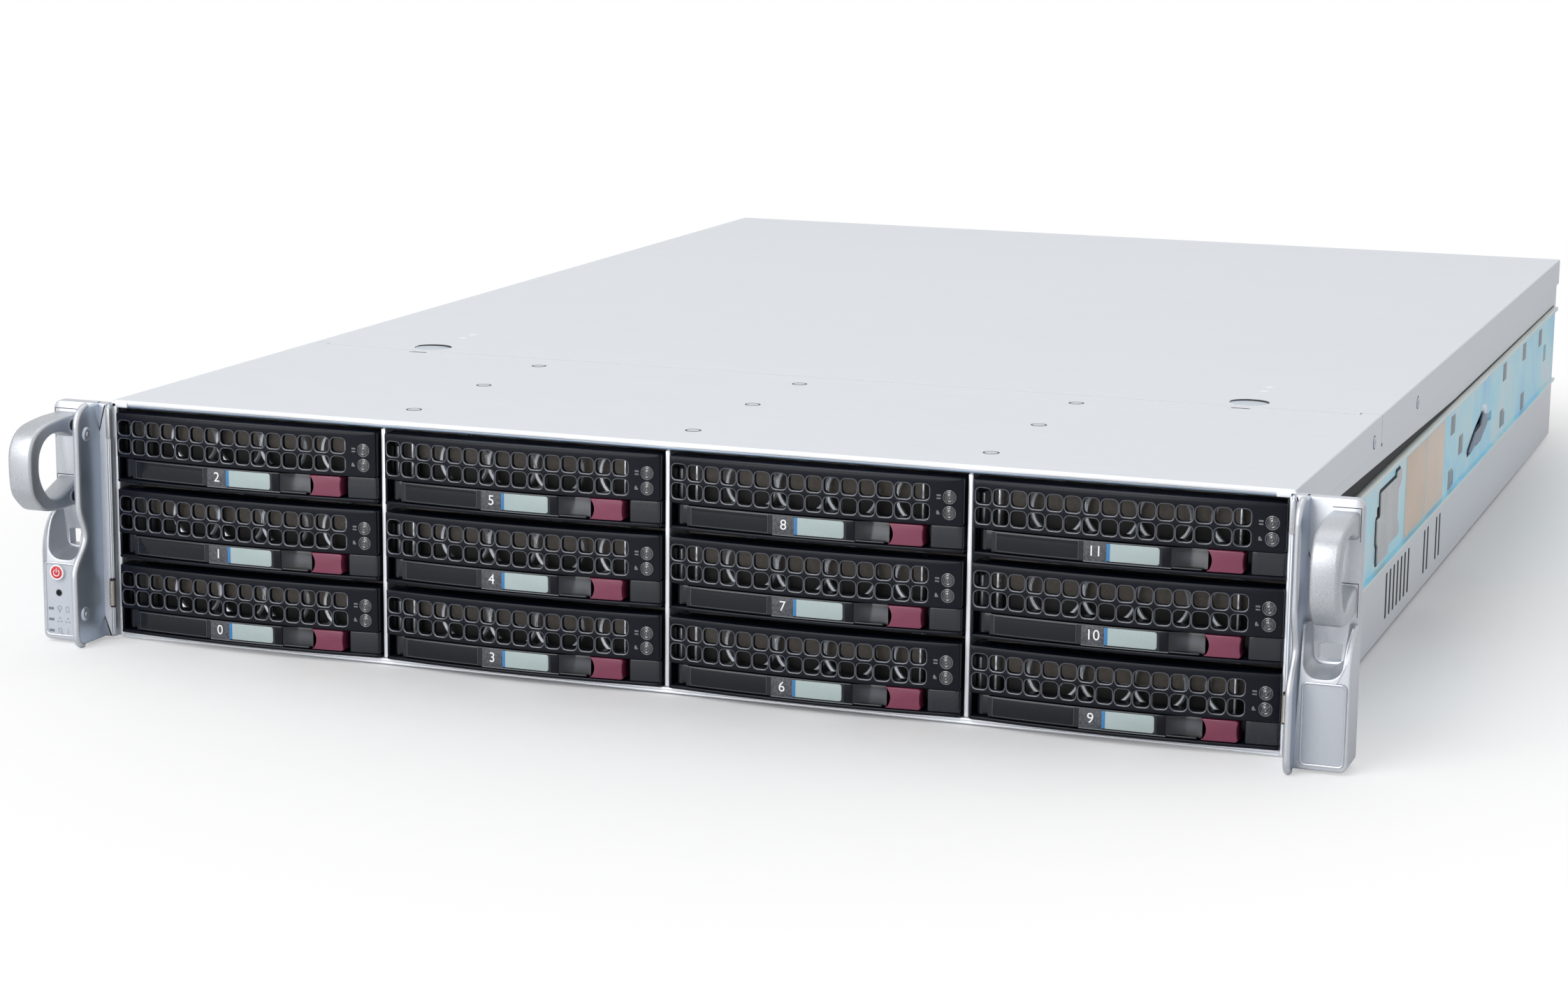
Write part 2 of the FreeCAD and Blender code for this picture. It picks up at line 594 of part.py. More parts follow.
def backplane():
    """Board behind the bays with a connector for each drive and air openings."""
    edge = SIDE_IN - BACKPLANE_INSET
    y1 = BACKPLANE_Y + BACKPLANE_SHEET
    board = box(-edge, edge, BACKPLANE_Y, y1, *BACKPLANE_Z)
    connectors = []
    vents = []
    for column in range(COLUMNS):
        for row in range(ROWS):
            x = bay_x(column) + DRIVE_MARGIN + CONNECTOR_SIDE
            z = bay_z(row) + DRIVE_LIFT + CONNECTOR_LIFT
            connectors.append(box(x, x + CONNECTOR[0], DRIVE_BACK_Y + SEAT_GAP, BACKPLANE_Y,
                                  z, z + CONNECTOR[1]))
            if row:
                vents.append(box(x, x + BOARD_VENT[0], BACKPLANE_Y - 1, y1 + 1,
                                 bay_z(row) - BOARD_VENT[1], bay_z(row)))
    return union(board.cut(Part.makeCompound(vents)), *connectors)


# ---------------------------------------------------------------- drive carriers

def bow_radius():
    """Radius of the bezel's front, from its width and bow."""
    half = BEZEL_WIDTH / 2
    return (half * half + BEZEL_BOW * BEZEL_BOW) / (2 * BEZEL_BOW)


def bow_y(x, inset=0.0):
    """Front of the bow at x from the bezel's left end, set back by inset."""
    radius = bow_radius()
    centre_y = BEZEL_END_Y - BEZEL_BOW + radius
    dx = x - BEZEL_WIDTH / 2
    return centre_y - math.sqrt((radius - inset) ** 2 - dx * dx)


def bowed_block(x0, x1, inset, back_y, z0, z1):
    """Block whose front follows the bezel's bow in flat strips, set back by inset."""
    strip = STRIP_COLUMNS * HOLE_PITCH_X
    first = HOLE_FIRST_X - HOLE_PITCH_X / 2
    stations = [first + i * strip for i in range(int(BEZEL_WIDTH / strip) + 2)]
    front = [x0] + [x for x in stations if x0 < x < x1] + [x1]
    points = [(x, bow_y(x, inset)) for x in front]
    return prism_z(points + [(x1, back_y), (x0, back_y)], z0, z1)


def grille_holes():
    """Cutter for the rows of air holes through the bezel's face."""
    holes = []
    for row in range(GRILLE_ROWS):
        z = BEZEL_HEIGHT - HOLE_TOP_DROP - row * HOLE_PITCH_Z
        for column in range(GRILLE_COLUMNS):
            x = HOLE_FIRST_X + column * HOLE_PITCH_X
            holes.append(box(x - HOLE_WIDTH / 2, x + HOLE_WIDTH / 2,
                             BEZEL_END_Y - BEZEL_BOW - 1, BEZEL_BACK_Y,
                             z - HOLE_HEIGHT / 2, z + HOLE_HEIGHT / 2))
    return Part.makeCompound(holes)


def bezel():
    """Moulded front of a carrier: bowed grille above the lever's channel."""
    body = bowed_block(0, BEZEL_WIDTH, 0, BEZEL_BACK_Y, 0, BEZEL_HEIGHT)
    air_space = bowed_block(BEZEL_WALL / 2, HOLE_RIGHT_X, BEZEL_WALL, BEZEL_BACK_Y + 1,
                            CHANNEL_TOP + BEZEL_WALL, BEZEL_HEIGHT - BEZEL_WALL)
    channel = box(CHANNEL_LEFT, FIXED_END_X, BEZEL_END_Y - BEZEL_BOW - 1, CHANNEL_BACK_Y,
                  LEVER_LIP, CHANNEL_TOP)
    front = BEZEL_END_Y - BEZEL_BOW - 1
    notch_w, notch_h = CORNER_NOTCH
    notch = box(BEZEL_WIDTH - notch_w, BEZEL_WIDTH + 1, front, BEZEL_BACK_Y - 2,
                BEZEL_HEIGHT - notch_h, BEZEL_HEIGHT + 1)
    inset = bowed_block(FIXED_END_X - 1, BEZEL_WIDTH, FIXED_END_INSET, BEZEL_BACK_Y,
                        LEVER_LIP, CHANNEL_TOP)
    step = box(FIXED_END_X - 1, BEZEL_WIDTH + 1, front, BEZEL_BACK_Y, LEVER_LIP,
               CHANNEL_TOP).cut(inset)
    cutters = Part.makeCompound([air_space, channel, notch, step])
    return body.cut(cutters).cut(grille_holes())


def carrier_rails():
    """Side rails of the tray behind the bezel."""
    left = box(RAIL_INSET, RAIL_INSET + RAIL_SHEET, BEZEL_BACK_Y, RAIL_END_Y, RAIL_LIFT,
               RAIL_LIFT + RAIL_HEIGHT)
    right = left.copy()
    right.translate(V(BEZEL_WIDTH - 2 * RAIL_INSET - RAIL_SHEET, 0, 0))
    return [left, right]


def hard_drive():
    """Drive that fills the tray between its rails."""
    return box(DRIVE_MARGIN, DRIVE_MARGIN + DRIVE_WIDTH, DRIVE_FRONT_Y, DRIVE_BACK_Y, DRIVE_LIFT,
               DRIVE_LIFT + DRIVE_HEIGHT)


def carrier():
    """Bezel, the rails clipped to it and the drive they hold."""
    return Part.makeCompound([bezel(), *carrier_rails(), hard_drive()])


def lever():
    """Carrier lever: bowed bar with a finger scoop and a half-round hinge barrel."""
    z0 = LEVER_LIP + LEVER_GAP
    z1 = CHANNEL_TOP - LEVER_GAP
    bar = bowed_block(LEVER_LEFT, LEVER_RIGHT, LEVER_RECESS, PIVOT_Y, z0, z1)
    barrel = Part.makeCylinder(PIVOT_BARREL, z1 - z0, V(PIVOT_X, PIVOT_Y, z0), V(0, 0, 1), 180)
    barrel.rotate(V(PIVOT_X, PIVOT_Y, z0), V(0, 0, 1), 180)
    web = box(PIVOT_X, LEVER_LEFT + 1, PIVOT_Y - PIVOT_BARREL, PIVOT_Y, z0, z1)
    scoop_x = LEVER_RIGHT - SCOOP_FROM_END
    scoop_y = bow_y(scoop_x, LEVER_RECESS) + SCOOP_DEPTH - SCOOP_RADIUS
    scoop = flat_rod_z(SCOOP_RADIUS, scoop_x, scoop_y, z0 + SCOOP_RIM, z1 + 1, SCOOP_SIDES)
    return union(bar, barrel, web).cut(scoop)


def release_tab():
    """Push tab that frees the lever, with a bevelled outer end."""
    x0 = LEVER_RIGHT + TAB_GAP
    x1 = x0 + TAB_WIDTH
    z0 = LEVER_LIP + LEVER_GAP
    z1 = CHANNEL_TOP - LEVER_GAP
    tab = bowed_block(x0, x1, 0, CHANNEL_BACK_Y - TAB_BACK_GAP, z0, z1)
    y = bow_y(x1)
    bevel = prism_z([(x1 - TAB_BEVEL, y - 1), (x1 + 1, y - 1), (x1 + 1, y + TAB_BEVEL + 1)],
                    z0 - 1, z1 + 1)
    return tab.cut(bevel)


# ---------------------------------------------------------------- ears and handles

def ear_rib():
    """Forward flange beside the frame, with its waved front edge."""
    upper = EAR_FRONT - EAR_RIB_UPPER
    neck = EAR_FRONT - EAR_RIB_NECK
    lower = EAR_FRONT - EAR_RIB_LOWER
    x = RIB_IN

    def edge(*pairs):
        return Part.makePolygon([V(x, y, z) for y, z in pairs]).Edges

    def curve(*pairs):
        return Part.Arc(*[V(x, y, z) for y, z in pairs]).toShape()

    r = EAR_RIB_TOP_ROUND
    f = EAR_RIB_FOOT_ROUND
    round_share = 1 - math.sqrt(0.5)
    top_cut = r * round_share
    foot_cut = f * round_share
    z1, z2, z3, z4 = EAR_RIB_WAVE
    outline = edge((lower + f, EAR_BOTTOM), (0, EAR_BOTTOM), (0, EAR_TOP), (upper + r, EAR_TOP))
    outline.append(curve((upper + r, EAR_TOP), (upper + top_cut, EAR_TOP - top_cut),
                         (upper, EAR_TOP - r)))
    outline += edge((upper, EAR_TOP - r), (upper, z4), (neck, z3), (neck, z2), (lower, z1),
                    (lower, EAR_BOTTOM + f))
    outline.append(curve((lower, EAR_BOTTOM + f), (lower + foot_cut, EAR_BOTTOM + foot_cut),
                         (lower + f, EAR_BOTTOM)))
    wire = Part.Wire(Part.__sortEdges__(outline))
    return Part.Face(wire).extrude(V(EAR_RIB_SHEET, 0, 0))


def scoop_outline(x0, x1, z0, corner, y):
    """Corners of the scoop at depth y: bevelled below and open at the top."""
    top = POD_TOP + 2
    cut = corner * (1 - math.sqrt(0.5))
    points = [(x0, z0 + corner), (x0 + cut, z0 + cut), (x0 + corner, z0),
              (x1 - corner, z0), (x1 - cut, z0 + cut), (x1, z0 + corner), (x1, top), (x0, top)]
    return [V(x, y, z) for x, z in points]


def tapered_block(front, back):
    """Solid between two like outlines, with a flat side between each pair of edges."""
    sides = [front, back]
    for i in range(len(front)):
        sides.append([front[i - 1], front[i], back[i], back[i - 1]])
    faces = [Part.Face(Part.makePolygon(corners + corners[:1])) for corners in sides]
    return Part.Solid(Part.Shell(faces))


def ear_scoop():
    """Tapered hollow that leads a screw to the rack slot."""
    x0 = RIB_OUT + SCOOP_MARGIN
    x1 = RACK_EDGE - SCOOP_MARGIN
    inset = SCOOP_TAPER / 2
    front = scoop_outline(x0, x1, SCOOP_FLOOR_Z, SCOOP_CORNER, POD_FRONT - 0.5)
    back = scoop_outline(x0 + inset, x1 - inset, SCOOP_FLOOR_Z + SCOOP_TAPER,
                         SCOOP_CORNER - inset, EAR_FRONT)
    return tapered_block(front, back)


def rack_slot():
    """Cutter for the horizontal slot that takes the rack screw."""
    x = SLOT_SPACING / 2
    reach = SLOT_LENGTH / 2 - SLOT_RADIUS
    y0 = EAR_FRONT - 1
    ends = [rod_y(SLOT_RADIUS, x + side * reach, SLOT_Z, y0, 1) for side in (-1, 1)]
    middle = box(x - reach, x + reach, y0, 1, SLOT_Z - SLOT_RADIUS, SLOT_Z + SLOT_RADIUS)
    return union(middle, *ends)


def right_ear():
    """Cast rack ear with its mounting leg, forward flange and lower pod."""
    plate = box(HALF_WIDTH + EAR_GAP, RACK_EDGE, EAR_FRONT, 0, EAR_BOTTOM, EAR_TOP)
    plate = round_edges(plate, EAR_CORNER,
                        lambda p, d: abs(d.y) > 0.9 and p.x > RACK_EDGE - 0.1)
    leg = box(SIDE_OUT, SIDE_OUT + EAR_LEG_SHEET, 0, EAR_LEG_LENGTH, *EAR_LEG_Z)
    root = box(HALF_WIDTH + EAR_GAP, SIDE_OUT + EAR_LEG_SHEET, EAR_FRONT, 2, *EAR_LEG_Z)
    pod = box(RIB_OUT - 0.2, RACK_EDGE, POD_FRONT, EAR_FRONT, EAR_BOTTOM, POD_TOP)
    pod = round_edges(pod, 2.0, lambda p, d: abs(d.z) > 0.9 and p.y < POD_FRONT + 0.1
                      and p.x > RACK_EDGE - 0.1)
    panel = box(RIB_OUT + PANEL_X[0], RACK_EDGE - PANEL_X[1], POD_FRONT - 1,
                POD_FRONT + PANEL_RECESS, *PANEL_Z)
    ear = union(plate, leg, root, pod, ear_rib())
    return ear.cut(Part.makeCompound([ear_scoop(), panel])).cut(rack_slot())


def left_ear():
    """Mirror of the right ear, with wells for the power and reset buttons."""
    wells = [flat_rod_y(radius + BUTTON_CLEARANCE, -BUTTON_X, z, POD_FRONT - 1,
                        POD_FRONT + BUTTON_WELL)
             for radius, z in ((POWER_RADIUS, POWER_Z), (RESET_RADIUS, RESET_Z))]
    return mirrored(right_ear()).cut(Part.makeCompound(wells))


def front_button(radius, z, front_y):
    """Round push button in the left ear."""
    return flat_rod_y(radius, -BUTTON_X, z, front_y, front_y + BUTTON_LENGTH)


def handle():
    """Cast pull handle: a deep loop with thick roots that seat on the ear plate."""
    x0, x1 = HANDLE_X
    z0, z1 = HANDLE_Z
    grip = EAR_FRONT - HANDLE_FRONT
    r = HANDLE_CORNER
    k = r * (1 - math.sqrt(0.5))
    inner = grip + HANDLE_BAR
    q = HANDLE_INNER_CORNER
    m = q * (1 - math.sqrt(0.5))
    bend = inner + q
    low = z0 + HANDLE_BAR
    high = z1 - HANDLE_BAR

    def line(*pairs):
        return Part.makePolygon([V(x0, y, z) for y, z in pairs]).Edges

    def arc(*pairs):
        return [Part.Arc(*[V(x0, y, z) for y, z in pairs]).toShape()]

    edges = line((EAR_FRONT, z1), (grip + r, z1))
    edges += arc((grip + r, z1), (grip + k, z1 - k), (grip, z1 - r))
    edges += line((grip, z1 - r), (grip, z0 + r))
    edges += arc((grip, z0 + r), (grip + k, z0 + k), (grip + r, z0))
    edges += line((grip + r, z0), (EAR_FRONT, z0), (EAR_FRONT, z0 + HANDLE_ROOT), (bend, low))
    edges += arc((bend, low), (inner + m, low + m), (inner, low + q))
    edges += line((inner, low + q), (inner, high - q))
    edges += arc((inner, high - q), (inner + m, high - m), (bend, high))
    edges += line((bend, high), (EAR_FRONT, z1 - HANDLE_ROOT), (EAR_FRONT, z1))
    return Part.Face(Part.Wire(edges)).extrude(V(x1 - x0, 0, 0))


# ---------------------------------------------------------------- side rails

def inner_rail():
    """Right chassis rail: a shallow channel with its punched openings."""
    x0 = SIDE_OUT
    z0, z1 = RAIL_Z
    x1 = x0 + RAIL_LIP
    section = [(x0, z0), (x1, z0), (x1, z0 + RAIL_WEB), (x0 + RAIL_WEB, z0 + RAIL_WEB),
               (x0 + RAIL_WEB, z1 - RAIL_WEB), (x1, z1 - RAIL_WEB), (x1, z1), (x0, z1)]
    rail = prism_y(section, RAIL_START_Y, RAIL_START_Y + RAIL_LENGTH)
    cutters = [box(x0 - 1, x1 + 1, y, y + dy, z - dz / 2, z + dz / 2)
               for y, z, dy, dz in RAIL_CUTOUTS]
    return rail.cut(Part.makeCompound(cutters))


# ---------------------------------------------------------------- fans

def fan_frame(x):
    """Square fan housing with the rear cross and shaft that carry the impeller."""
    z0 = BASE_SHEET
    z = z0 + FAN_SIZE / 2
    y1 = FAN_Y + FAN_DEPTH - FAN_CROSS_DEPTH
    reach = FAN_SIZE / 2
    shell = box(x - reach, x + reach, FAN_Y, y1, z0, z0 + FAN_SIZE)
    shell = shell.cut(flat_rod_y(FAN_BORE, x, z, FAN_Y - 1, y1 + 1, FAN_BORE_SIDES))
    half = FAN_CROSS_WIDTH / 2
    back = y1 + FAN_CROSS_DEPTH
    across = box(x - reach, x + reach, y1, back, z - half, z + half)
    upright = box(x - half, x + half, y1, back, z0, z0 + FAN_SIZE)
    shaft = rod_y(FAN_SHAFT, x, z, y1 - FAN_SHAFT_LENGTH, y1)
    return union(shell, across, upright, shaft)


def fan_impeller(x):
    """Hub with pitched blades, bored for the housing's shaft."""
    z = BASE_SHEET + FAN_SIZE / 2
    y1 = FAN_Y + FAN_DEPTH - FAN_CROSS_DEPTH - FAN_CROSS_GAP
    y0 = y1 - IMPELLER_DEPTH
    pitch = math.radians(BLADE_PITCH_DEG)
    length = IMPELLER_DEPTH * BLADE_SHARE / math.cos(pitch)
    tip = math.sqrt((FAN_BORE - FAN_TIP_GAP) ** 2 - (length * math.sin(pitch) / 2) ** 2) - 1
    blades = []
    for i in range(FAN_BLADES):
        blade = Part.makeBox(BLADE_THICKNESS, length, tip - BLADE_ROOT,
                             V(-BLADE_THICKNESS / 2, -length / 2, BLADE_ROOT))
        blade.rotate(V(0, 0, 0), V(0, 0, 1), BLADE_PITCH_DEG)
        blade.rotate(V(0, 0, 0), V(0, 1, 0), 360.0 * i / FAN_BLADES)
        blade.translate(V(x, (y0 + y1) / 2, z))
        blades.append(blade)
    bore = flat_rod_y(FAN_SHAFT + FAN_SHAFT_CLEARANCE, x, z,
                      y1 + FAN_CROSS_GAP - FAN_SHAFT_LENGTH - SEAT_GAP, y1 + 1, BORE_SIDES)
    hub = flat_rod_y(FAN_HUB, x, z, y0, y1, 2 * FAN_BLADES)
    return union(hub, *blades).cut(bore)


# ---------------------------------------------------------------- main board

def motherboard():
    """Main board on its standoffs, with sockets, memory, card slots and rear ports."""
    x0, x1 = BOARD_X
    y0, y1 = BOARD_Y
    pieces = []
    for x in (x0 + STANDOFF_MARGIN, x1 - STANDOFF_MARGIN):
        for y in (y0 + STANDOFF_MARGIN, (y0 + y1) / 2, y1 - STANDOFF_MARGIN):
            pieces.append(flat_rod_z(STANDOFF_RADIUS, x, y, BASE_SHEET, BOARD_Z, 6))
    w, d, h = SOCKET
    for x in HEATSINK_X:
        pieces.append(box(x - w / 2, x + w / 2, HEATSINK_Y - d / 2, HEATSINK_Y + d / 2,
                          BOARD_TOP, BOARD_TOP + h))
    for i in range(MEMORY_COUNT):
        x = MEMORY_FIRST_X + i * MEMORY_PITCH
        pieces.append(box(x - MEMORY_THICKNESS / 2, x + MEMORY_THICKNESS / 2,
                          HEATSINK_Y - MEMORY_LENGTH / 2, HEATSINK_Y + MEMORY_LENGTH / 2,
                          BOARD_TOP, BOARD_TOP + MEMORY_HEIGHT))
    w, d, h = CARD_SLOT
    for i in range(SLOT_COVERS - 1):
        x = SLOT_COVER_FIRST_X + i * SLOT_COVER_PITCH
        pieces.append(box(x - w / 2, x + w / 2, CARD_SLOT_Y, CARD_SLOT_Y + d, BOARD_TOP,
                          BOARD_TOP + h))
    x = IO_OPENING_X[0] + IO_PORT_START
    for width in IO_PORT_WIDTHS:
        pieces.append(box(x, x + width, y1 - IO_PORT_DEPTH + 6, y1 + 6, BOARD_TOP,
                          BOARD_TOP + IO_PORT_HEIGHT))
        x += width + IO_PORT_GAP
    return [box(x0, x1, y0, y1, BOARD_Z, BOARD_TOP), *pieces]


def cpu_heatsink(x):
    """Finned block on a processor, with its fins along the air flow."""
    half = HEATSINK_SIZE / 2
    z0 = BOARD_TOP + SOCKET[2]
    z1 = z0 + HEATSINK_BASE
    top = z0 + HEATSINK_HEIGHT
    pitch = (HEATSINK_SIZE - FIN_THICKNESS) / (FIN_COUNT - 1)
    comb = [(x + half, z0), (x - half, z0)]
    for i in range(FIN_COUNT):
        left = x - half + i * pitch
        if i:
            comb.append((left, z1))
        comb += [(left, top), (left + FIN_THICKNESS, top)]
        if i < FIN_COUNT - 1:
            comb.append((left + FIN_THICKNESS, z1))
    return prism_y(comb, HEATSINK_Y - half, HEATSINK_Y + half)


def slot_cover(index):
    """Blank bracket in one expansion slot, with its screw tab."""
    x = SLOT_COVER_FIRST_X + index * SLOT_COVER_PITCH
    half = SLOT_COVER_WIDTH / 2
    y1 = CHASSIS_DEPTH - BASE_SHEET
    y0 = y1 - SLOT_COVER_SHEET
    z0, z1 = SLOT_COVER_Z
    profile = [(y1, z0), (y1, z1), (y1 - SLOT_COVER_TAB, z1),
               (y1 - SLOT_COVER_TAB, z1 - SLOT_COVER_SHEET), (y0, z1 - SLOT_COVER_SHEET),
               (y0, z0)]
    return prism_x(profile, x - half, x + half)


# ---------------------------------------------------------------- power supplies

def psu(z):
    """Hot-swap power supply: case, inlet, fan recess and pull handle."""
    x0 = PSU_X
    rear = PSU_REAR_Y
    case = box(x0, x0 + PSU_WIDTH, PSU_START_Y, rear, z, z + PSU_HEIGHT)
    wall = PSU_CASE_SHEET
    inside = box(x0 + wall, x0 + PSU_WIDTH - wall, PSU_START_Y + wall,
                 rear - PSU_INLET[2] - wall, z + wall, z + PSU_HEIGHT - wall)
    iw, ih, depth = PSU_INLET
    inlet = box(x0 + PSU_INLET_X, x0 + PSU_INLET_X + iw, rear - depth, rear + 1,
                z + PSU_INLET_LIFT, z + PSU_INLET_LIFT + ih)
    fan = flat_rod_y(PSU_FAN_RADIUS, x0 + PSU_FAN_X, z + PSU_HEIGHT / 2,
                     rear - PSU_FAN_POCKET, rear + 1)
    lx = x0 + PSU_LATCH_X
    pocket = box(lx - PSU_LATCH_TRAVEL - SEAT_GAP, lx + PSU_LATCH_WIDTH + SEAT_GAP,
                 rear - PSU_LATCH_POCKET - SEAT_GAP, rear + 1,
                 z + PSU_LATCH_Z - SEAT_GAP, z + PSU_LATCH_Z + PSU_LATCH_HEIGHT + SEAT_GAP)
    hx = x0 + PSU_HANDLE_X
    h0, h1 = PSU_HANDLE_Z
    reach = rear + PSU_HANDLE_REACH
    bar = PSU_HANDLE_BAR
    loop = [(rear - 0.5, z + h0), (reach - bar, z + h0), (reach, z + h0 + bar),
            (reach, z + h1 - bar), (reach - bar, z + h1), (rear - 0.5, z + h1),
            (rear - 0.5, z + h1 - bar), (reach - bar - 1, z + h1 - bar),
            (reach - bar, z + h1 - bar - 1), (reach - bar, z + h0 + bar + 1),
            (reach - bar - 1, z + h0 + bar), (rear - 0.5, z + h0 + bar)]
    handle_loop = prism_x(loop, hx, hx + bar)
    hollow = Part.makeCompound([inside, inlet, fan, pocket])
    return union(case.cut(hollow), handle_loop)


def psu_latch(z):
    """Thumb tab beside the handle that frees a power supply."""
    x0 = PSU_X + PSU_LATCH_X
    x1 = x0 + PSU_LATCH_WIDTH
    y0 = PSU_REAR_Y - PSU_LATCH_POCKET
    y1 = PSU_REAR_Y + PSU_LATCH_REACH
    outline = [(x0, y0), (x1, y0), (x1, y1), (x0 + PSU_LATCH_WIDTH / 2, y1),
               (x0, y1 - PSU_LATCH_WIDTH)]
    z0 = z + PSU_LATCH_Z
    return prism_z(outline, z0, z0 + PSU_LATCH_HEIGHT)


# ---------------------------------------------------------------- nodes

def write_node(name, *solids):
    """Move a node's solids to the part's origin and write them as one STEP file."""
    shape = solids[0].copy() if len(solids) == 1 else Part.makeCompound(list(solids))
    shape.translate(V(0, -CHASSIS_DEPTH / 2, 0))
    shape.exportStep(os.path.join("parts", name + ".step"))


def placed(shape, x, z):
    """Copy of a carrier piece moved into its bay."""
    copy = shape.copy()
    copy.translate(V(x, 0, z))
    return copy


def write_carriers():
    """Carrier, lever and release tab of every bay, numbered up each column."""
    shapes = {"carrier": carrier(), "lever": lever(), "release_tab": release_tab()}
    for column in range(COLUMNS):
        for row in range(ROWS):
            number = column * ROWS + row
            for kind, shape in shapes.items():
                write_node(f"{kind}_{number:02d}", placed(shape, bay_x(column), bay_z(row)))


def main():
    os.makedirs("parts", exist_ok=True)
    write_node("chassis_base", *chassis_base())
    write_node("front_cover", front_cover())
    write_node("top_cover", *top_cover())
    write_node("cover_latch_left", cover_latch(-LATCH_X))
    write_node("cover_latch_right", cover_latch(LATCH_X))
    write_node("drive_cage", *drive_cage())
    write_node("backplane", backplane())
    write_carriers()
    write_node("right_ear", right_ear())
    write_node("left_ear", left_ear())
    write_node("front_handles", handle(), mirrored(handle()))
    write_node("power_button", front_button(POWER_RADIUS, POWER_Z, POD_FRONT - POWER_PROUD))
    write_node("reset_button", front_button(RESET_RADIUS, RESET_Z, POD_FRONT + RESET_SUNK))
    write_node("inner_rails", inner_rail(), mirrored(inner_rail()))
    write_node("fan_frames", *[fan_frame(fan_x(i)) for i in range(FAN_COUNT)])
    for i in range(FAN_COUNT):
        write_node(f"fan_impeller_{i + 1}", fan_impeller(fan_x(i)))
    write_node("motherboard", *motherboard())
    write_node("cpu_heatsinks", *[cpu_heatsink(x) for x in HEATSINK_X])
    write_node("slot_covers", *[slot_cover(i) for i in range(SLOT_COVERS)])
    for name, z in zip(("lower", "upper"), PSU_LEVELS):
        write_node("psu_" + name, psu(z))
        write_node("psu_latch_" + name, psu_latch(z))


main()
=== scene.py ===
"""2U rack server with twelve drive carriers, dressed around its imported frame.

Lengths are millimetres, with y counted from the chassis front, until a mesh is made.
"""
import bmesh
import bpy
import math
import numpy as np
from mathutils import Matrix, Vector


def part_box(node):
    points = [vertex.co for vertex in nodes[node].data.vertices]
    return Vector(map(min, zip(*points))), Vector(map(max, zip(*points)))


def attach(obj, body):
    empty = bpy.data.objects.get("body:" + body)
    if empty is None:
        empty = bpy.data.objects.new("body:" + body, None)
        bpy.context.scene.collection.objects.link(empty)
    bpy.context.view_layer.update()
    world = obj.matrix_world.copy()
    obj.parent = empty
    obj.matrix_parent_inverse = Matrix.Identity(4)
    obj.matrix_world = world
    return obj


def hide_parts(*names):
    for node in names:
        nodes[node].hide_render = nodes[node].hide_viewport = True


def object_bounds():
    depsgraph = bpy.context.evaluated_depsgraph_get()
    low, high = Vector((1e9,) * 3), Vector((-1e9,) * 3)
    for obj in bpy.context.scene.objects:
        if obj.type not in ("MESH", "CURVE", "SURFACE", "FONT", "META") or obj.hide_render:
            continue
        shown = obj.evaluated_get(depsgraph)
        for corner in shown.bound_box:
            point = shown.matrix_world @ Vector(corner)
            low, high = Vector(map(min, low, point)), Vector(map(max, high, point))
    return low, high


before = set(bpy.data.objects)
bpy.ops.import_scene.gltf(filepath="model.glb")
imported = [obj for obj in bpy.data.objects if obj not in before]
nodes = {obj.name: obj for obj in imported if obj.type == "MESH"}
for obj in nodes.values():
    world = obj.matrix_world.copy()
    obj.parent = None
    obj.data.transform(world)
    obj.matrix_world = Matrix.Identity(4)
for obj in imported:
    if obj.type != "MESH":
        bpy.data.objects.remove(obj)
cad_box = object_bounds()


# ------------------------------------------------------------------ fixed front cover
# The pressed steel cover over the drive bays. It is zinc-plated sheet 0.8 mm thick, folded
# down at the sides and at the front edge, and riveted to the cage below with nine flush rivets.

MM = 0.001
FRONT_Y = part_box("chassis_base")[0][1] / MM     # chassis front edge, in the frame
COVER_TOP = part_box("front_cover")[1][2] / MM


def quads(rows, columns, ring):
    """Corner numbers of the faces between neighbouring points of a grid, row by row."""
    r = np.arange(rows - 1)[:, None]
    c = np.arange(columns if ring else columns - 1)[None, :]
    n = (c + 1) % columns
    corners = (r * columns + c, r * columns + n, (r + 1) * columns + n, (r + 1) * columns + c)
    return np.stack(np.broadcast_arrays(*corners), -1).reshape(-1, 4)


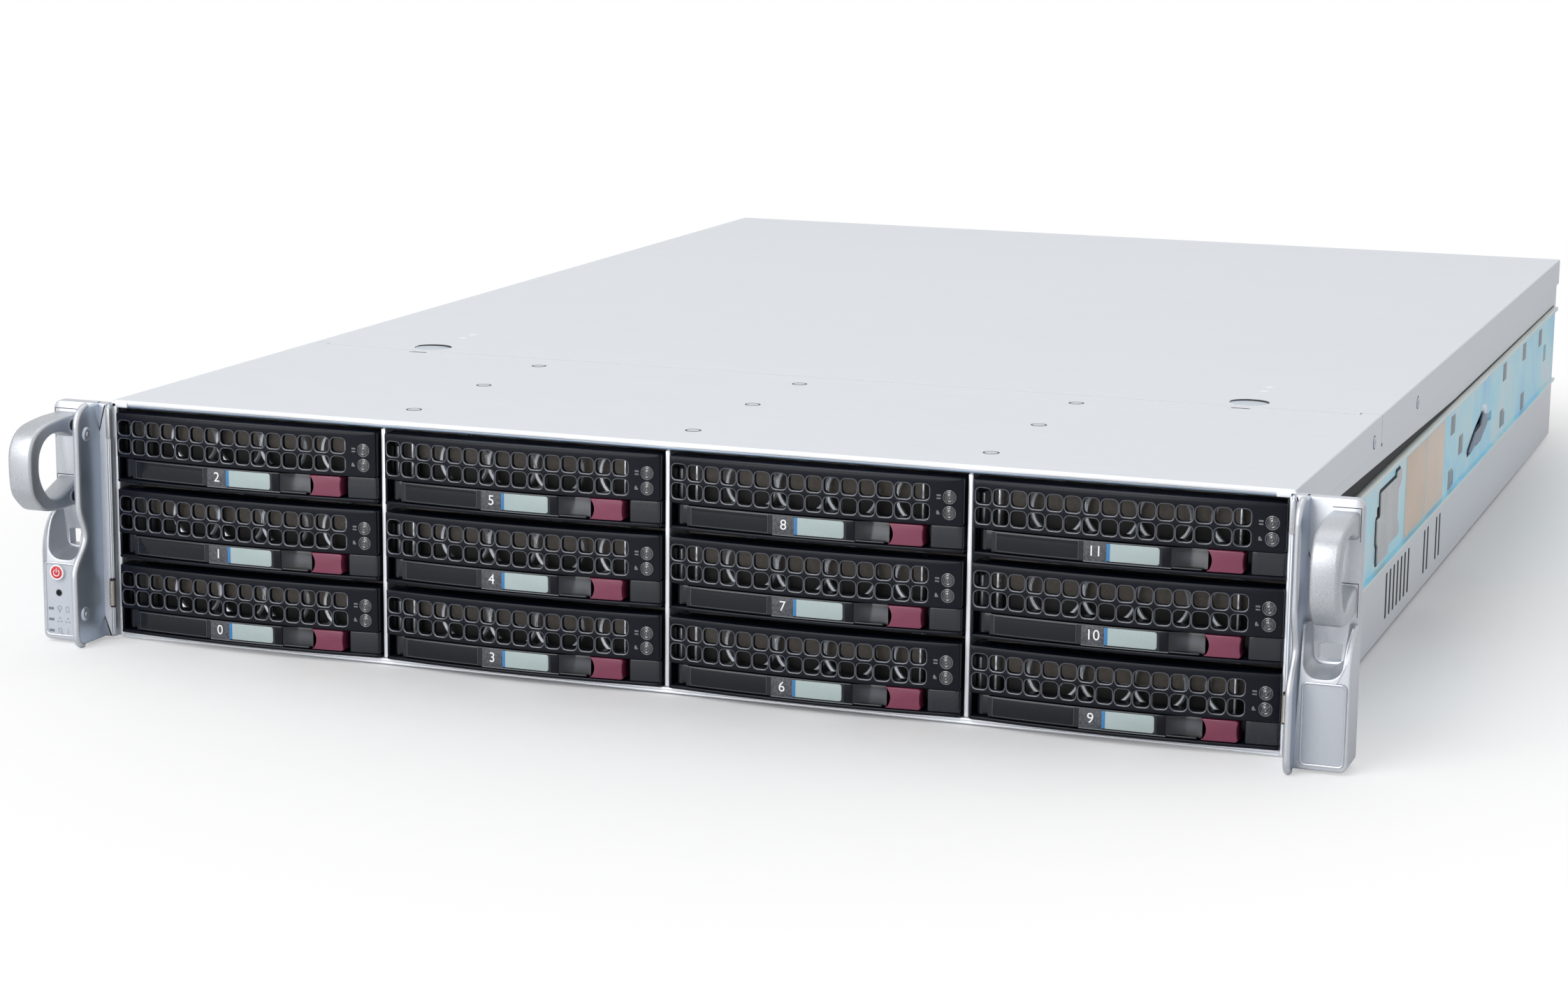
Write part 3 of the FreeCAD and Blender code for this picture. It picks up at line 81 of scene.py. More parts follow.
def piece(name, body, surfaces, replaced=(), crease=38):
    """One mesh from several grids of points, each with its material.

    A surface is (points, material, ring, ends). points is (..., rows, columns, 3), where the
    leading parts are copies. ring joins the last column to the first, and ends closes the
    first and last row with a flat face.
    """
    verts, faces, marks, materials = [], [], [], []
    count = 0
    for points, material, ring, ends in surfaces:
        if material not in materials:
            materials.append(material)
        mark = materials.index(material)
        rows, columns = points.shape[-3:-1]
        copies = points.reshape(-1, rows, columns, 3)
        base = count + np.arange(len(copies))[:, None, None] * rows * columns
        walls = (quads(rows, columns, ring)[None] + base).reshape(-1, 4).tolist()
        faces += walls
        marks += [mark] * len(walls)
        if ends:
            first = np.arange(columns)[::-1] + base[:, 0]
            last = np.arange(columns) + (rows - 1) * columns + base[:, 0]
            flats = np.concatenate([first, last]).tolist()
            faces += flats
            marks += [mark] * len(flats)
        verts.append(copies.reshape(-1, 3))
        count += copies.shape[0] * rows * columns
    points = np.concatenate(verts) + (0, FRONT_Y, 0)
    mesh = bpy.data.meshes.new(name)
    mesh.from_pydata((points * MM).tolist(), [], faces)
    mesh.polygons.foreach_set("material_index", marks)
    bm = bmesh.new()
    bm.from_mesh(mesh)
    bmesh.ops.remove_doubles(bm, verts=bm.verts, dist=2e-6)
    bmesh.ops.dissolve_degenerate(bm, edges=bm.edges, dist=1e-6)
    bmesh.ops.recalc_face_normals(bm, faces=bm.faces)
    bm.to_mesh(mesh)
    bm.free()
    for material in materials:
        mesh.materials.append(material)
    mesh.polygons.foreach_set("use_smooth", np.ones(len(mesh.polygons), bool))
    mesh.set_sharp_from_angle(angle=math.radians(crease))
    made = bpy.data.objects.new(name, mesh)
    bpy.context.scene.collection.objects.link(made)
    if replaced:
        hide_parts(*replaced)
    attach(made, body)
    return made


def soften(corners, radius, steps=4):
    """Outline with an arc in place of each corner.

    The arc starts and ends radius / tan(half angle) from the corner along its two sides, and
    turns about the centre that lies radius / sin(half angle) in along the bisector.
    """
    p = np.asarray(corners, float)
    r = np.broadcast_to(np.asarray(radius, float), len(p))[:, None]
    back = np.roll(p, 1, 0) - p
    ahead = np.roll(p, -1, 0) - p
    back /= np.linalg.norm(back, axis=1, keepdims=True)
    ahead /= np.linalg.norm(ahead, axis=1, keepdims=True)
    half = np.arccos(np.clip((back * ahead).sum(1, keepdims=True), -1, 1)) / 2
    middle = back + ahead
    centre = p + middle / np.linalg.norm(middle, axis=1, keepdims=True) * r / np.sin(half)
    start = p + back * r / np.tan(half) - centre
    end = p + ahead * r / np.tan(half) - centre
    turn = math.pi - 2 * half[:, None]
    t = np.linspace(0, 1, steps + 1)[None, :, None]
    arc = (np.sin((1 - t) * turn) * start[:, None] + np.sin(t * turn) * end[:, None])
    return (centre[:, None] + arc / np.sin(turn)).reshape(-1, 2)


def inset(outline, distance):
    """Outline moved inwards: each point goes along the sum of its two edge normals."""
    p = np.asarray(outline, float)
    ahead = np.roll(p, -1, 0) - p
    ahead /= np.linalg.norm(ahead, axis=1, keepdims=True)
    area = (p[:, 0] * np.roll(p[:, 1], -1) - p[:, 1] * np.roll(p[:, 0], -1)).sum()
    normal = np.stack([-ahead[:, 1], ahead[:, 0]], 1) * np.sign(area)
    before = np.roll(normal, 1, 0)
    share = 1 + (normal * before).sum(1, keepdims=True)
    return p + distance * (normal + before) / share


ORDER = {"z": (0, 1, 2), "y": (0, 2, 1), "x": (2, 0, 1)}


def slab(outline, low, high, edge, axis="z", steps=3):
    """An outline carried along an axis from low to high, drawn in round at both ends.

    At the angle a the outline is edge * (1 - sin a) inside its full size, edge * (1 - cos a)
    from the end. The outline is (x, y) for the z axis, (x, z) for y and (y, z) for x.
    """
    a = np.linspace(0, math.pi / 2, steps + 1)
    inward = edge * (1 - np.sin(a))
    along = edge * (1 - np.cos(a))
    inward = np.concatenate([inward, inward[::-1]])
    place = np.concatenate([low + along, high - along[::-1]])
    flat = np.stack([inset(outline, d) for d in inward])
    full = np.concatenate([flat, np.broadcast_to(place[:, None, None], flat.shape[:2] + (1,))], 2)
    return full[..., ORDER[axis]]


def rectangle(x0, x1, y0, y1):
    """Corners of a rectangle, turning left."""
    return [(x0, y0), (x1, y0), (x1, y1), (x0, y1)]


def block(x0, x1, y0, y1, z0, z1, corner=0.4, edge=0.3, axis="z", steps=2):
    """Rounded block between two corners: a softened rectangle carried along one axis."""
    spans = {"z": (x0, x1, y0, y1, z0, z1), "y": (x0, x1, z0, z1, y0, y1),
             "x": (y0, y1, z0, z1, x0, x1)}[axis]
    return slab(soften(rectangle(*spans[:4]), corner, steps), spans[4], spans[5], edge, axis,
                steps)


def turned(profile, centre, axis="z", sides=24):
    """A profile of (radius, height) turned about an axis through centre."""
    profile = np.asarray(profile, float)
    a = np.linspace(0, 2 * math.pi, sides, endpoint=False)
    ring = np.stack([profile[:, :1] * np.cos(a), profile[:, :1] * np.sin(a),
                     np.broadcast_to(profile[:, 1:], (len(profile), sides))], -1)
    return ring[..., ORDER[axis]] + np.asarray(centre, float)


def grain_group():
    """Node group: speckle and cloud noise that vary a finish's colour, gloss and height."""
    group = bpy.data.node_groups.new("surface grain", "ShaderNodeTree")
    new = group.interface.new_socket
    for label, kind, default in (("Colour", "NodeSocketColor", (0.5, 0.5, 0.5, 1)),
                                 ("Dark Colour", "NodeSocketColor", (0.3, 0.3, 0.3, 1)),
                                 ("Grain Scale", "NodeSocketFloat", 2000.0),
                                 ("Cloud Scale", "NodeSocketFloat", 40.0),
                                 ("Grain Share", "NodeSocketFloat", 0.5),
                                 ("Roughness", "NodeSocketFloat", 0.4),
                                 ("Roughness Spread", "NodeSocketFloat", 0.1),
                                 ("Stretch", "NodeSocketVector", (1, 1, 1))):
        socket = new(name=label, in_out="INPUT", socket_type=kind)
        socket.default_value = default
    for label, kind in (("Colour", "NodeSocketColor"), ("Roughness", "NodeSocketFloat"),
                        ("Height", "NodeSocketFloat")):
        new(name=label, in_out="OUTPUT", socket_type=kind)
    node, link = group.nodes.new, group.links.new
    given, out = node("NodeGroupInput"), node("NodeGroupOutput")
    place = node("ShaderNodeTexCoord")
    stretch = node("ShaderNodeVectorMath")
    stretch.operation = "MULTIPLY"
    link(place.outputs["Object"], stretch.inputs[0])
    link(given.outputs["Stretch"], stretch.inputs[1])
    fine, cloud = node("ShaderNodeTexNoise"), node("ShaderNodeTexNoise")
    fine.inputs["Detail"].default_value = 3.0
    cloud.inputs["Detail"].default_value = 5.0
    for noise, scale in ((fine, "Grain Scale"), (cloud, "Cloud Scale")):
        link(stretch.outputs[0], noise.inputs["Vector"])
        link(given.outputs[scale], noise.inputs["Scale"])
    both = node("ShaderNodeMix")
    link(given.outputs["Grain Share"], both.inputs[0])
    link(cloud.outputs["Fac"], both.inputs[2])
    link(fine.outputs["Fac"], both.inputs[3])
    sharper = node("ShaderNodeMapRange")
    sharper.inputs["From Min"].default_value = 0.3
    sharper.inputs["From Max"].default_value = 0.7
    link(both.outputs[0], sharper.inputs["Value"])
    colours = node("ShaderNodeMix")
    colours.data_type = "RGBA"
    link(sharper.outputs[0], colours.inputs[0])
    link(given.outputs["Dark Colour"], colours.inputs[6])
    link(given.outputs["Colour"], colours.inputs[7])
    rough = node("ShaderNodeMath")
    rough.operation = "MULTIPLY_ADD"
    link(sharper.outputs[0], rough.inputs[0])
    link(given.outputs["Roughness Spread"], rough.inputs[1])
    link(given.outputs["Roughness"], rough.inputs[2])
    link(colours.outputs[2], out.inputs["Colour"])
    link(rough.outputs[0], out.inputs["Roughness"])
    link(fine.outputs["Fac"], out.inputs["Height"])
    return group


GRAIN = grain_group()


def finish(name, colour, dark, rough, metal=0.0, grain=2000.0, cloud=40.0, share=0.5,
           spread=0.1, bump=0.05, stretch=(1, 1, 1), coat=0.0, lift=0.0002, **sockets):
    """A Principled finish whose colour, gloss and height come from the grain group."""
    material = bpy.data.materials.new(name)
    material.use_nodes = True
    tree = material.node_tree
    shader = tree.nodes["Principled BSDF"]
    shader.inputs["Metallic"].default_value = metal
    shader.inputs["Coat Weight"].default_value = coat
    for socket, value in sockets.items():
        shader.inputs[socket.replace("_", " ")].default_value = value
    group = tree.nodes.new("ShaderNodeGroup")
    group.node_tree = GRAIN
    group.inputs["Colour"].default_value = (*colour, 1)
    group.inputs["Dark Colour"].default_value = (*dark, 1)
    for socket, value in (("Grain Scale", grain), ("Cloud Scale", cloud),
                          ("Grain Share", share), ("Roughness", rough),
                          ("Roughness Spread", spread), ("Stretch", stretch)):
        group.inputs[socket].default_value = value
    bumps = tree.nodes.new("ShaderNodeBump")
    bumps.inputs["Strength"].default_value = bump
    bumps.inputs["Distance"].default_value = lift
    tree.links.new(group.outputs["Colour"], shader.inputs["Base Color"])
    tree.links.new(group.outputs["Roughness"], shader.inputs["Roughness"])
    tree.links.new(group.outputs["Height"], bumps.inputs["Height"])
    tree.links.new(bumps.outputs["Normal"], shader.inputs["Normal"])
    return material


def dress(node, *materials, edge=0.0):
    """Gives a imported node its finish, and rounds its sharp edges by edge millimetres."""
    made = nodes[node]
    made.data.materials.clear()
    for material in materials:
        made.data.materials.append(material)
    if edge:
        made.modifiers.new("weld", "WELD").merge_threshold = 2e-6
        bevel = made.modifiers.new("rounded edges", "BEVEL")
        bevel.width = edge * MM
        bevel.segments = 2
        bevel.angle_limit = math.radians(35)
        bevel.harden_normals = True


def mirrored(points):
    """The same surface on the other side of the middle plane."""
    return points * (-1, 1, 1)


def both_sides(name, surfaces, nodes_by_side=None):
    """The surfaces as one piece on the right of the chassis, and mirrored as one on the left."""
    nodes_by_side = nodes_by_side or {}
    for side in ("right", "left"):
        turned_over = [(mirrored(points) if side == "left" else points, *rest)
                       for points, *rest in surfaces]
        piece(f"{name}_{side}", "chassis", turned_over, nodes_by_side.get(side, ()))


SHEET = finish("galvanised sheet", (0.70, 0.725, 0.765), (0.655, 0.685, 0.73), 0.36, metal=0.4,
               grain=700, cloud=7, share=0.72, spread=0.08, bump=0.05, stretch=(0.06, 1, 1))
# Painted highlight: a lighter copy of the grey sheet for folds, edge beads and seams where they
# catch the light; small rivet heads, a rail knob and an ear strip share it.
FOLD_HIGHLIGHT = finish("painted fold highlight", (0.84, 0.86, 0.90), (0.78, 0.80, 0.85), 0.34, metal=0.3,
              grain=300, cloud=12, share=0.3, spread=0.04, bump=0.0)
RIVET = finish("rivet head", (0.55, 0.59, 0.65), (0.42, 0.46, 0.52), 0.3, metal=0.7)
# Painted shade: a near-black fill put in slots, grooves, gaps and wells where shadow falls, and as
# shadow outlines round raised parts.
PAINTED_SHADE = finish("painted shade", (0.012, 0.013, 0.016), (0.006, 0.006, 0.008), 0.7)
BLUE_SHADE = finish("shaded sheet edge", (0.20, 0.26, 0.34), (0.13, 0.18, 0.25), 0.35, metal=0.6)
dress("front_cover", SHEET, edge=0.3)

RIVET_X = (-108.5, 0.0, 108.8)
RIVET_Y = (24.5, 83.5, 134.0)
places = np.array([(x, y, COVER_TOP) for x in RIVET_X for y in RIVET_Y])
head = turned([(0.01, -0.3), (2.1, -0.3), (2.35, -0.05), (2.3, 0.04), (1.5, 0.16), (0.01, 0.2)],
              (0, 0, 0), sides=20)
# The dark ring round each rivet head is painted shade in its groove.
rivet_groove_shade = turned([(2.3, -0.2), (2.35, 0.03), (2.9, 0.03), (2.95, -0.2)], (0, 0, 0), sides=20)
piece("front_cover_rivets", "chassis",
      [(places[:, None, None] + head, RIVET, True, False),
       (places[:, None, None] + rivet_groove_shade, PAINTED_SHADE, True, False)])
SIDE_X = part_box("front_cover")[1][0] / MM
# The bead along the front fold carries painted highlight, and the strip under it painted blue
# shade.
fold = block(-SIDE_X + 1.6, SIDE_X - 1.6, -0.35, 1.3, COVER_TOP - 2.0, COVER_TOP + 0.02, 0.7, 0.2,
             "x", 4)
under_fold = block(-SIDE_X + 2.2, SIDE_X - 2.2, -0.05, 1.2, COVER_TOP - 2.7, COVER_TOP - 1.9,
                   0.2, 0.1, "x")
SCREW_HEAD = turned([(0.01, 0.15), (0.5, 0.15), (0.55, 0.5), (1.7, 0.42), (2.15, 0.1),
                     (2.2, -0.1)], (0, 0, 0), "x", 20)
# The dark ring round each screw head is painted shade.
screw_ring_shade = turned([(2.2, -0.1), (2.22, 0.05), (2.6, 0.05), (2.62, -0.1)], (0, 0, 0), "x", 20)
side_screw = np.array((SIDE_X, 139.6, 81.0))
piece("front_cover_fold", "chassis", [(fold, FOLD_HIGHLIGHT, True, True),
                                      (under_fold, BLUE_SHADE, True, True)])
piece("front_cover_screws", "chassis",
      [(SCREW_HEAD + side_screw, RIVET, True, False),
       (screw_ring_shade + side_screw, PAINTED_SHADE, True, False),
       (mirrored(SCREW_HEAD + side_screw), RIVET, True, False),
       (mirrored(screw_ring_shade + side_screw), PAINTED_SHADE, True, False)])
# Each catch slot is filled with painted shade just under the cover's face.
for name, x in (("left", -167.0), ("right", 167.0)):
    piece(f"catch_slot_shade_{name}", "chassis",
          [(block(x - 3.6, x + 3.6, 146.6, 148.4, COVER_TOP - 0.7, COVER_TOP - 0.12, 0.8, 0.05),
            PAINTED_SHADE, True, True)])


# ------------------------------------------------------------------ sliding top cover
# The larger pressed cover, which slides to the rear and lifts off. The same sheet as the front
# cover, with folded sides, and two holes for the latches that hold it shut.

dress("top_cover", SHEET, edge=0.3)


def crescent(centre, outer, width, spread_deg):
    """Crescent round the rear of a circle, width at its middle and closing to its ends."""
    a = np.radians(np.linspace(90 - spread_deg, 90 + spread_deg, 28))
    thick = width * np.cos((a - math.pi / 2) * 90 / spread_deg) + 0.04
    rim = np.stack([np.cos(a), np.sin(a)], 1)
    return np.concatenate([rim * outer, (rim * (outer - thick[:, None]))[::-1]]) + centre


small_rivets = np.array([(side * 167.5, y, COVER_TOP) for side in (-1, 1) for y in (188.8, 198.4)])
small_head = turned([(0.01, 0.14), (1.2, 0.12), (1.7, 0.0), (1.75, -0.2)], (0, 0, 0), sides=16)
cover_marks = [(small_rivets[:, None, None] + small_head, FOLD_HIGHLIGHT, True, False)]
for side in (-1, 1):
    # The dark crescent behind each latch hole is painted shadow.
    hollow = crescent((side * 167.7, 161.0), 7.5, 1.5, 80)
    rim = crescent((side * 167.7, 161.0), 7.9, 0.45, 88)
    cover_marks += [(slab(hollow, COVER_TOP - 0.2, COVER_TOP + 0.03, 0.01), PAINTED_SHADE, True, True),
                    (slab(rim, COVER_TOP - 0.2, COVER_TOP + 0.06, 0.01), RIVET, True, True)]
# At the side seam the light line is painted highlight and the dark block at its foot painted shade.
marks_in_side = [(SCREW_HEAD + (SIDE_X, 231.7, 81.3), RIVET, True, False),
                 (screw_ring_shade + (SIDE_X, 231.7, 81.3), PAINTED_SHADE, True, False),
                 (block(SIDE_X - 0.1, SIDE_X + 0.03, 155.3, 155.9, 77.4, 88.0, 0.1, 0.01), FOLD_HIGHLIGHT,
                  True, True),
                 (block(SIDE_X - 0.1, SIDE_X + 0.04, 154.8, 156.2, 76.9, 78.2, 0.5, 0.01, "x"),
                  PAINTED_SHADE, True, True)]
for points, material, ring, ends in marks_in_side:
    cover_marks += [(points, material, ring, ends), (mirrored(points), material, ring, ends)]
piece("top_cover_marks", "top_cover", cover_marks)


# ------------------------------------------------------------------ cover latches
# Spring steel tongues under the cover, each with a round button that comes up through a hole.
# Pushed down by a thumb, they free the cover.

LATCH = finish("latch button", (0.58, 0.62, 0.68), (0.47, 0.51, 0.57), 0.4, metal=0.5)
for side in ("left", "right"):
    dress("cover_latch_" + side, LATCH)


# ------------------------------------------------------------------ chassis tray and cage
# The folded tray is zinc-plated steel 1 mm thick, and the cage dividers are riveted into it.

PLATED = finish("zinc-plated steel", (0.5, 0.53, 0.55), (0.3, 0.33, 0.36), 0.34, metal=0.75,
                grain=900, cloud=60, share=0.3, spread=0.15, bump=0.05)
dress("chassis_base", SHEET, edge=0.25)
dress("drive_cage", SHEET)
WALL_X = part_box("chassis_base")[1][0] / MM
dividers = np.array([-1.0, 0.0, 1.0]) * (2 * WALL_X + 0.8) / 4
# The light beads on the divider, hem, wall and corner edges carry painted highlight; the
# corner_shades are painted shade.
divider_edge = block(-0.85, 0.85, 0.7, 2.3, 2.2, 85.6, 0.5, 0.2)
hems = [block(-WALL_X + 1.4, WALL_X - 1.4, -0.35, 1.2, z0, z1, 0.4, 0.2, "x", 3)
        for z0, z1 in ((0.02, 0.98), (1.1, 2.0))]
wall_edge = block(WALL_X - 1.2, WALL_X + 0.75, -0.5, 1.1, 0.6, 75.2, 0.45, 0.3, steps=3)
corner_edges = [block(WALL_X - 1.0, WALL_X + 1.3, -0.9, 1.1, 74.8, 88.0, 0.5, 0.3, steps=3),
                block(WALL_X - 5.4, WALL_X + 1.0, -0.9, 0.6, 86.2, 88.4, 0.5, 0.3, "x", 3)]
corner_shades = [block(WALL_X - 1.7, WALL_X - 1.1, -0.6, 1.0, 75.4, 86.0, 0.1, 0.05)]
front_edges = [(np.array([(x, 0, 0) for x in dividers])[:, None, None] + divider_edge, FOLD_HIGHLIGHT,
                True, True)]
front_edges += [(hem, FOLD_HIGHLIGHT, True, True) for hem in hems]
for part, material in ([(wall_edge, FOLD_HIGHLIGHT)] + [(part, FOLD_HIGHLIGHT) for part in corner_edges]
                       + [(part, PAINTED_SHADE) for part in corner_shades]):
    front_edges += [(part, material, True, True), (mirrored(part), material, True, True)]
piece("front_edges", "chassis", front_edges)


# ------------------------------------------------------------------ side rails
# Rolled steel rails hooked on the chassis sides, with a mottled rainbow zinc plating.

def tint_over(material, share, tint):
    """Lays a tint over a finish's own colour by a share. Each is a value or a node's output."""
    tree = material.node_tree
    blend = tree.nodes.new("ShaderNodeMix")
    blend.data_type = "RGBA"
    for number, given in ((0, share), (7, tint)):
        if isinstance(given, bpy.types.NodeSocket):
            tree.links.new(given, blend.inputs[number])
        else:
            blend.inputs[number].default_value = given
    group = next(n for n in tree.nodes if n.type == "GROUP")
    tree.links.new(group.outputs["Colour"], blend.inputs[6])
    tree.links.new(blend.outputs[2], tree.nodes["Principled BSDF"].inputs["Base Color"])


def rainbow_zinc():
    """Zinc plating whose colour drifts between teal, blue, straw and pink over its surface."""
    material = finish("rainbow zinc", (0.52, 0.74, 0.86), (0.40, 0.62, 0.78), 0.3, metal=0.5,
                      grain=1200, cloud=45, share=0.3, spread=0.2, bump=0.05)
    tree = material.node_tree
    place = tree.nodes.new("ShaderNodeTexCoord")
    noise = tree.nodes.new("ShaderNodeTexNoise")
    noise.inputs["Scale"].default_value = 17.0
    noise.inputs["Detail"].default_value = 4.0
    noise.inputs["Roughness"].default_value = 0.55
    noise.inputs["Distortion"].default_value = 0.5
    ramp = tree.nodes.new("ShaderNodeValToRGB")
    stops = ((0.26, (0.30, 0.40, 0.80)), (0.37, (0.32, 0.63, 0.87)), (0.47, (0.36, 0.74, 0.89)),
             (0.55, (0.48, 0.79, 0.86)), (0.62, (0.66, 0.77, 0.78)), (0.72, (0.70, 0.67, 0.80)))
    bar = ramp.color_ramp
    bar.elements[0].position, bar.elements[0].color = stops[0][0], (*stops[0][1], 1)
    bar.elements[1].position, bar.elements[1].color = stops[-1][0], (*stops[-1][1], 1)
    for position, colour in stops[1:-1]:
        bar.elements.new(position).color = (*colour, 1)
    tree.links.new(place.outputs["Object"], noise.inputs["Vector"])
    tree.links.new(noise.outputs["Fac"], ramp.inputs["Fac"])
    tint_over(material, 0.7, ramp.outputs["Color"])
    return material


RAINBOW = rainbow_zinc()
CREAM = finish("pale rail edge", (0.80, 0.81, 0.76), (0.62, 0.70, 0.66), 0.3, metal=0.3)
TAN = finish("tan label", (0.80, 0.66, 0.55), (0.72, 0.58, 0.47), 0.5, metal=0.1)
PEACH = finish("peach label", (0.84, 0.72, 0.62), (0.76, 0.64, 0.55), 0.5, metal=0.1)
STEEL = finish("bare steel", (0.56, 0.57, 0.58), (0.40, 0.41, 0.42), 0.32, metal=0.7,
               grain=1400, cloud=90)
SLOT_GREY = finish("shaded slot", (0.33, 0.35, 0.38), (0.20, 0.22, 0.24), 0.4, metal=0.5)
dress("inner_rails", RAINBOW)
RAIL_FACE = WALL_X + 1.2
LATCH_OUTLINE = [(150.0, 33.6), (171.0, 33.6), (174.0, 37.0), (194.0, 37.0), (194.0, 41.0),
                 (190.0, 44.0), (190.0, 55.0), (196.0, 57.0), (196.0, 62.0), (187.0, 62.0),
                 (187.0, 60.0), (154.0, 60.0), (154.0, 51.0), (148.0, 51.0), (148.0, 42.0),
                 (150.0, 40.0)]
CLAW = [(358.0, 37.0), (380.0, 39.5), (395.0, 39.0), (413.0, 44.0), (413.0, 48.5),
        (402.0, 50.0), (396.0, 46.0), (381.0, 45.0)]
# The dark wedge above the rail's upper lip, wide at the front, is painted shadow.
RAIL_SHADOW_LINE = [(44.0, 66.3), (640.0, 66.3), (640.0, 66.9), (330.0, 67.2), (44.0, 72.5)]
# The dark outlines under the latch plate and the claw are painted shadow, and the blue-grey strip
# below the rail is painted shade.
rail_parts = [
    (slab(inset(soften(LATCH_OUTLINE, 0.8, 2), -0.9), RAIL_FACE - 0.2, RAIL_FACE + 0.08, 0.02,
          "x"), PAINTED_SHADE),
    (slab(soften(LATCH_OUTLINE, 0.8, 3), RAIL_FACE, RAIL_FACE + 0.9, 0.25, "x"), STEEL),
    (block(RAIL_FACE - 0.1, RAIL_FACE + 0.12, 211.0, 254.6, 31.4, 64.4, 1.0, 0.03, "x"), TAN),
    (block(RAIL_FACE - 0.1, RAIL_FACE + 0.12, 256.4, 301.0, 31.4, 64.4, 1.0, 0.03, "x"), PEACH),
    (slab(inset(soften(CLAW, 0.9, 3), -1.1), RAIL_FACE - 0.2, RAIL_FACE + 0.08, 0.02, "x"),
     PAINTED_SHADE),
    (slab(soften(CLAW, 0.9, 3), RAIL_FACE, RAIL_FACE + 1.1, 0.3, "x"), BLUE_SHADE),
    (slab(soften(RAIL_SHADOW_LINE, 0.1, 2), WALL_X - 0.1, WALL_X + 0.12, 0.03, "x"), PAINTED_SHADE),
    (block(WALL_X, RAIL_FACE + 1.45, 40.0, 638.0, 65.3, 66.5, 0.3, 0.2, "y"), CREAM),
    (block(WALL_X, RAIL_FACE + 1.45, 40.0, 638.0, 29.4, 30.6, 0.3, 0.2, "y"), CREAM),
    (block(WALL_X - 0.1, WALL_X + 0.14, 40.0, 638.0, 26.6, 29.3, 0.3, 0.05, "x"), BLUE_SHADE)]
RAIL_SLOTS = ((322.0, 58.0), (320.0, 35.5), (468.0, 58.7), (464.0, 38.0), (531.0, 59.0),
              (531.0, 35.5), (586.0, 58.0), (345.0, 46.0))
slot_shapes = block(RAIL_FACE - 0.1, RAIL_FACE + 0.07, -5.2, 5.2, -4.0, 4.0, 0.6, 0.02, "x")
slot_places = np.array([(0.0, y, z) for y, z in RAIL_SLOTS])[:, None, None]
knob = turned([(0.01, 1.7), (1.2, 1.6), (2.2, 1.0), (2.4, 0.0)], (RAIL_FACE, 405.0, 51.5), "x")
surfaces = [(part, material, True, True) for part, material in rail_parts]
surfaces += [(slot_places + slot_shapes, SLOT_GREY, True, True), (knob, FOLD_HIGHLIGHT, True, False)]
# The air slots are filled with painted shade, flush with the wall's face.
vent_rows = np.concatenate([183.0 + 8.0 * np.arange(7), 268.0 + 8.0 * np.arange(2),
                            297.0 + 8.0 * np.arange(2)])
vent_shade = block(WALL_X - 0.8, WALL_X + 0.03, -0.3, 2.9, 6.0, 23.7, 0.6, 0.01, "x")
vent_shades = np.stack([0 * vent_rows, vent_rows, 0 * vent_rows], 1)[:, None, None] + vent_shade
surfaces.append((vent_shades, PAINTED_SHADE, True, True))
both_sides("rail_details", surfaces)


# ------------------------------------------------------------------ drive carrier fronts
# Each carrier front is one black moulding. Two rows of fifteen rounded air holes stand above
# the channel for the lever, and the whole face is bowed. The moulding is clipped to two rails.

BLACK = finish("black moulding", (0.0045, 0.0055, 0.0105), (0.003, 0.0038, 0.0075), 0.2,
               grain=3500, cloud=120, share=0.7, spread=0.08, bump=0.05, Specular_IOR_Level=0.16)
SMOKE = finish("smoked plastic", (0.010, 0.012, 0.019), (0.007, 0.009, 0.014), 0.16, grain=3000,
               spread=0.05, bump=0.02, Specular_IOR_Level=0.45)
LENS = finish("light lens", (0.05, 0.055, 0.06), (0.02, 0.022, 0.026), 0.1, grain=3000,
              spread=0.03, bump=0.0, coat=1.0)
LENS_RIM = finish("lens rim", (0.10, 0.108, 0.12), (0.05, 0.055, 0.06), 0.15, coat=0.6)
# Printed signs use this grey, and so does a painted edge highlight on the lever.
PRINT_AND_EDGE_HIGHLIGHT = finish("printed mark and painted edge highlight", (0.15, 0.16, 0.17), (0.09, 0.10, 0.11), 0.5)
# Painted highlight: the rolled lip of each air hole in a lighter, glossier copy of the black, as if
# it caught the light.
HOLE_RIM_HIGHLIGHT = finish("painted hole rim highlight", (0.075, 0.082, 0.10), (0.04, 0.045, 0.058), 0.14,
                  grain=2500, spread=0.05, bump=0.0, coat=0.5)
WIDTH, HEIGHT = 105.6, 25.7
BOW_END, BOW_RISE, BACK_Y = -2.0, 3.2, 6.0
BOW_RADIUS = (WIDTH ** 2 / 4 + BOW_RISE ** 2) / (2 * BOW_RISE)
CHANNEL_TOP = 9.2
CELL, HOLE, HOLE_ROUND = (6.26, 6.7), (5.3, 5.2), 1.5
HOLE_X = 3.7 + CELL[0] * np.arange(15)
HOLE_Z = np.array([13.6, 20.3])
GRILLE_WALL = 1.9


def bow(x, back=0.0):
    """Front of a bezel: a circle through both ends, BOW_RISE proud in the middle."""
    centre = BOW_END - BOW_RISE + BOW_RADIUS
    return centre - np.sqrt((BOW_RADIUS - back) ** 2 - (x - WIDTH / 2) ** 2)


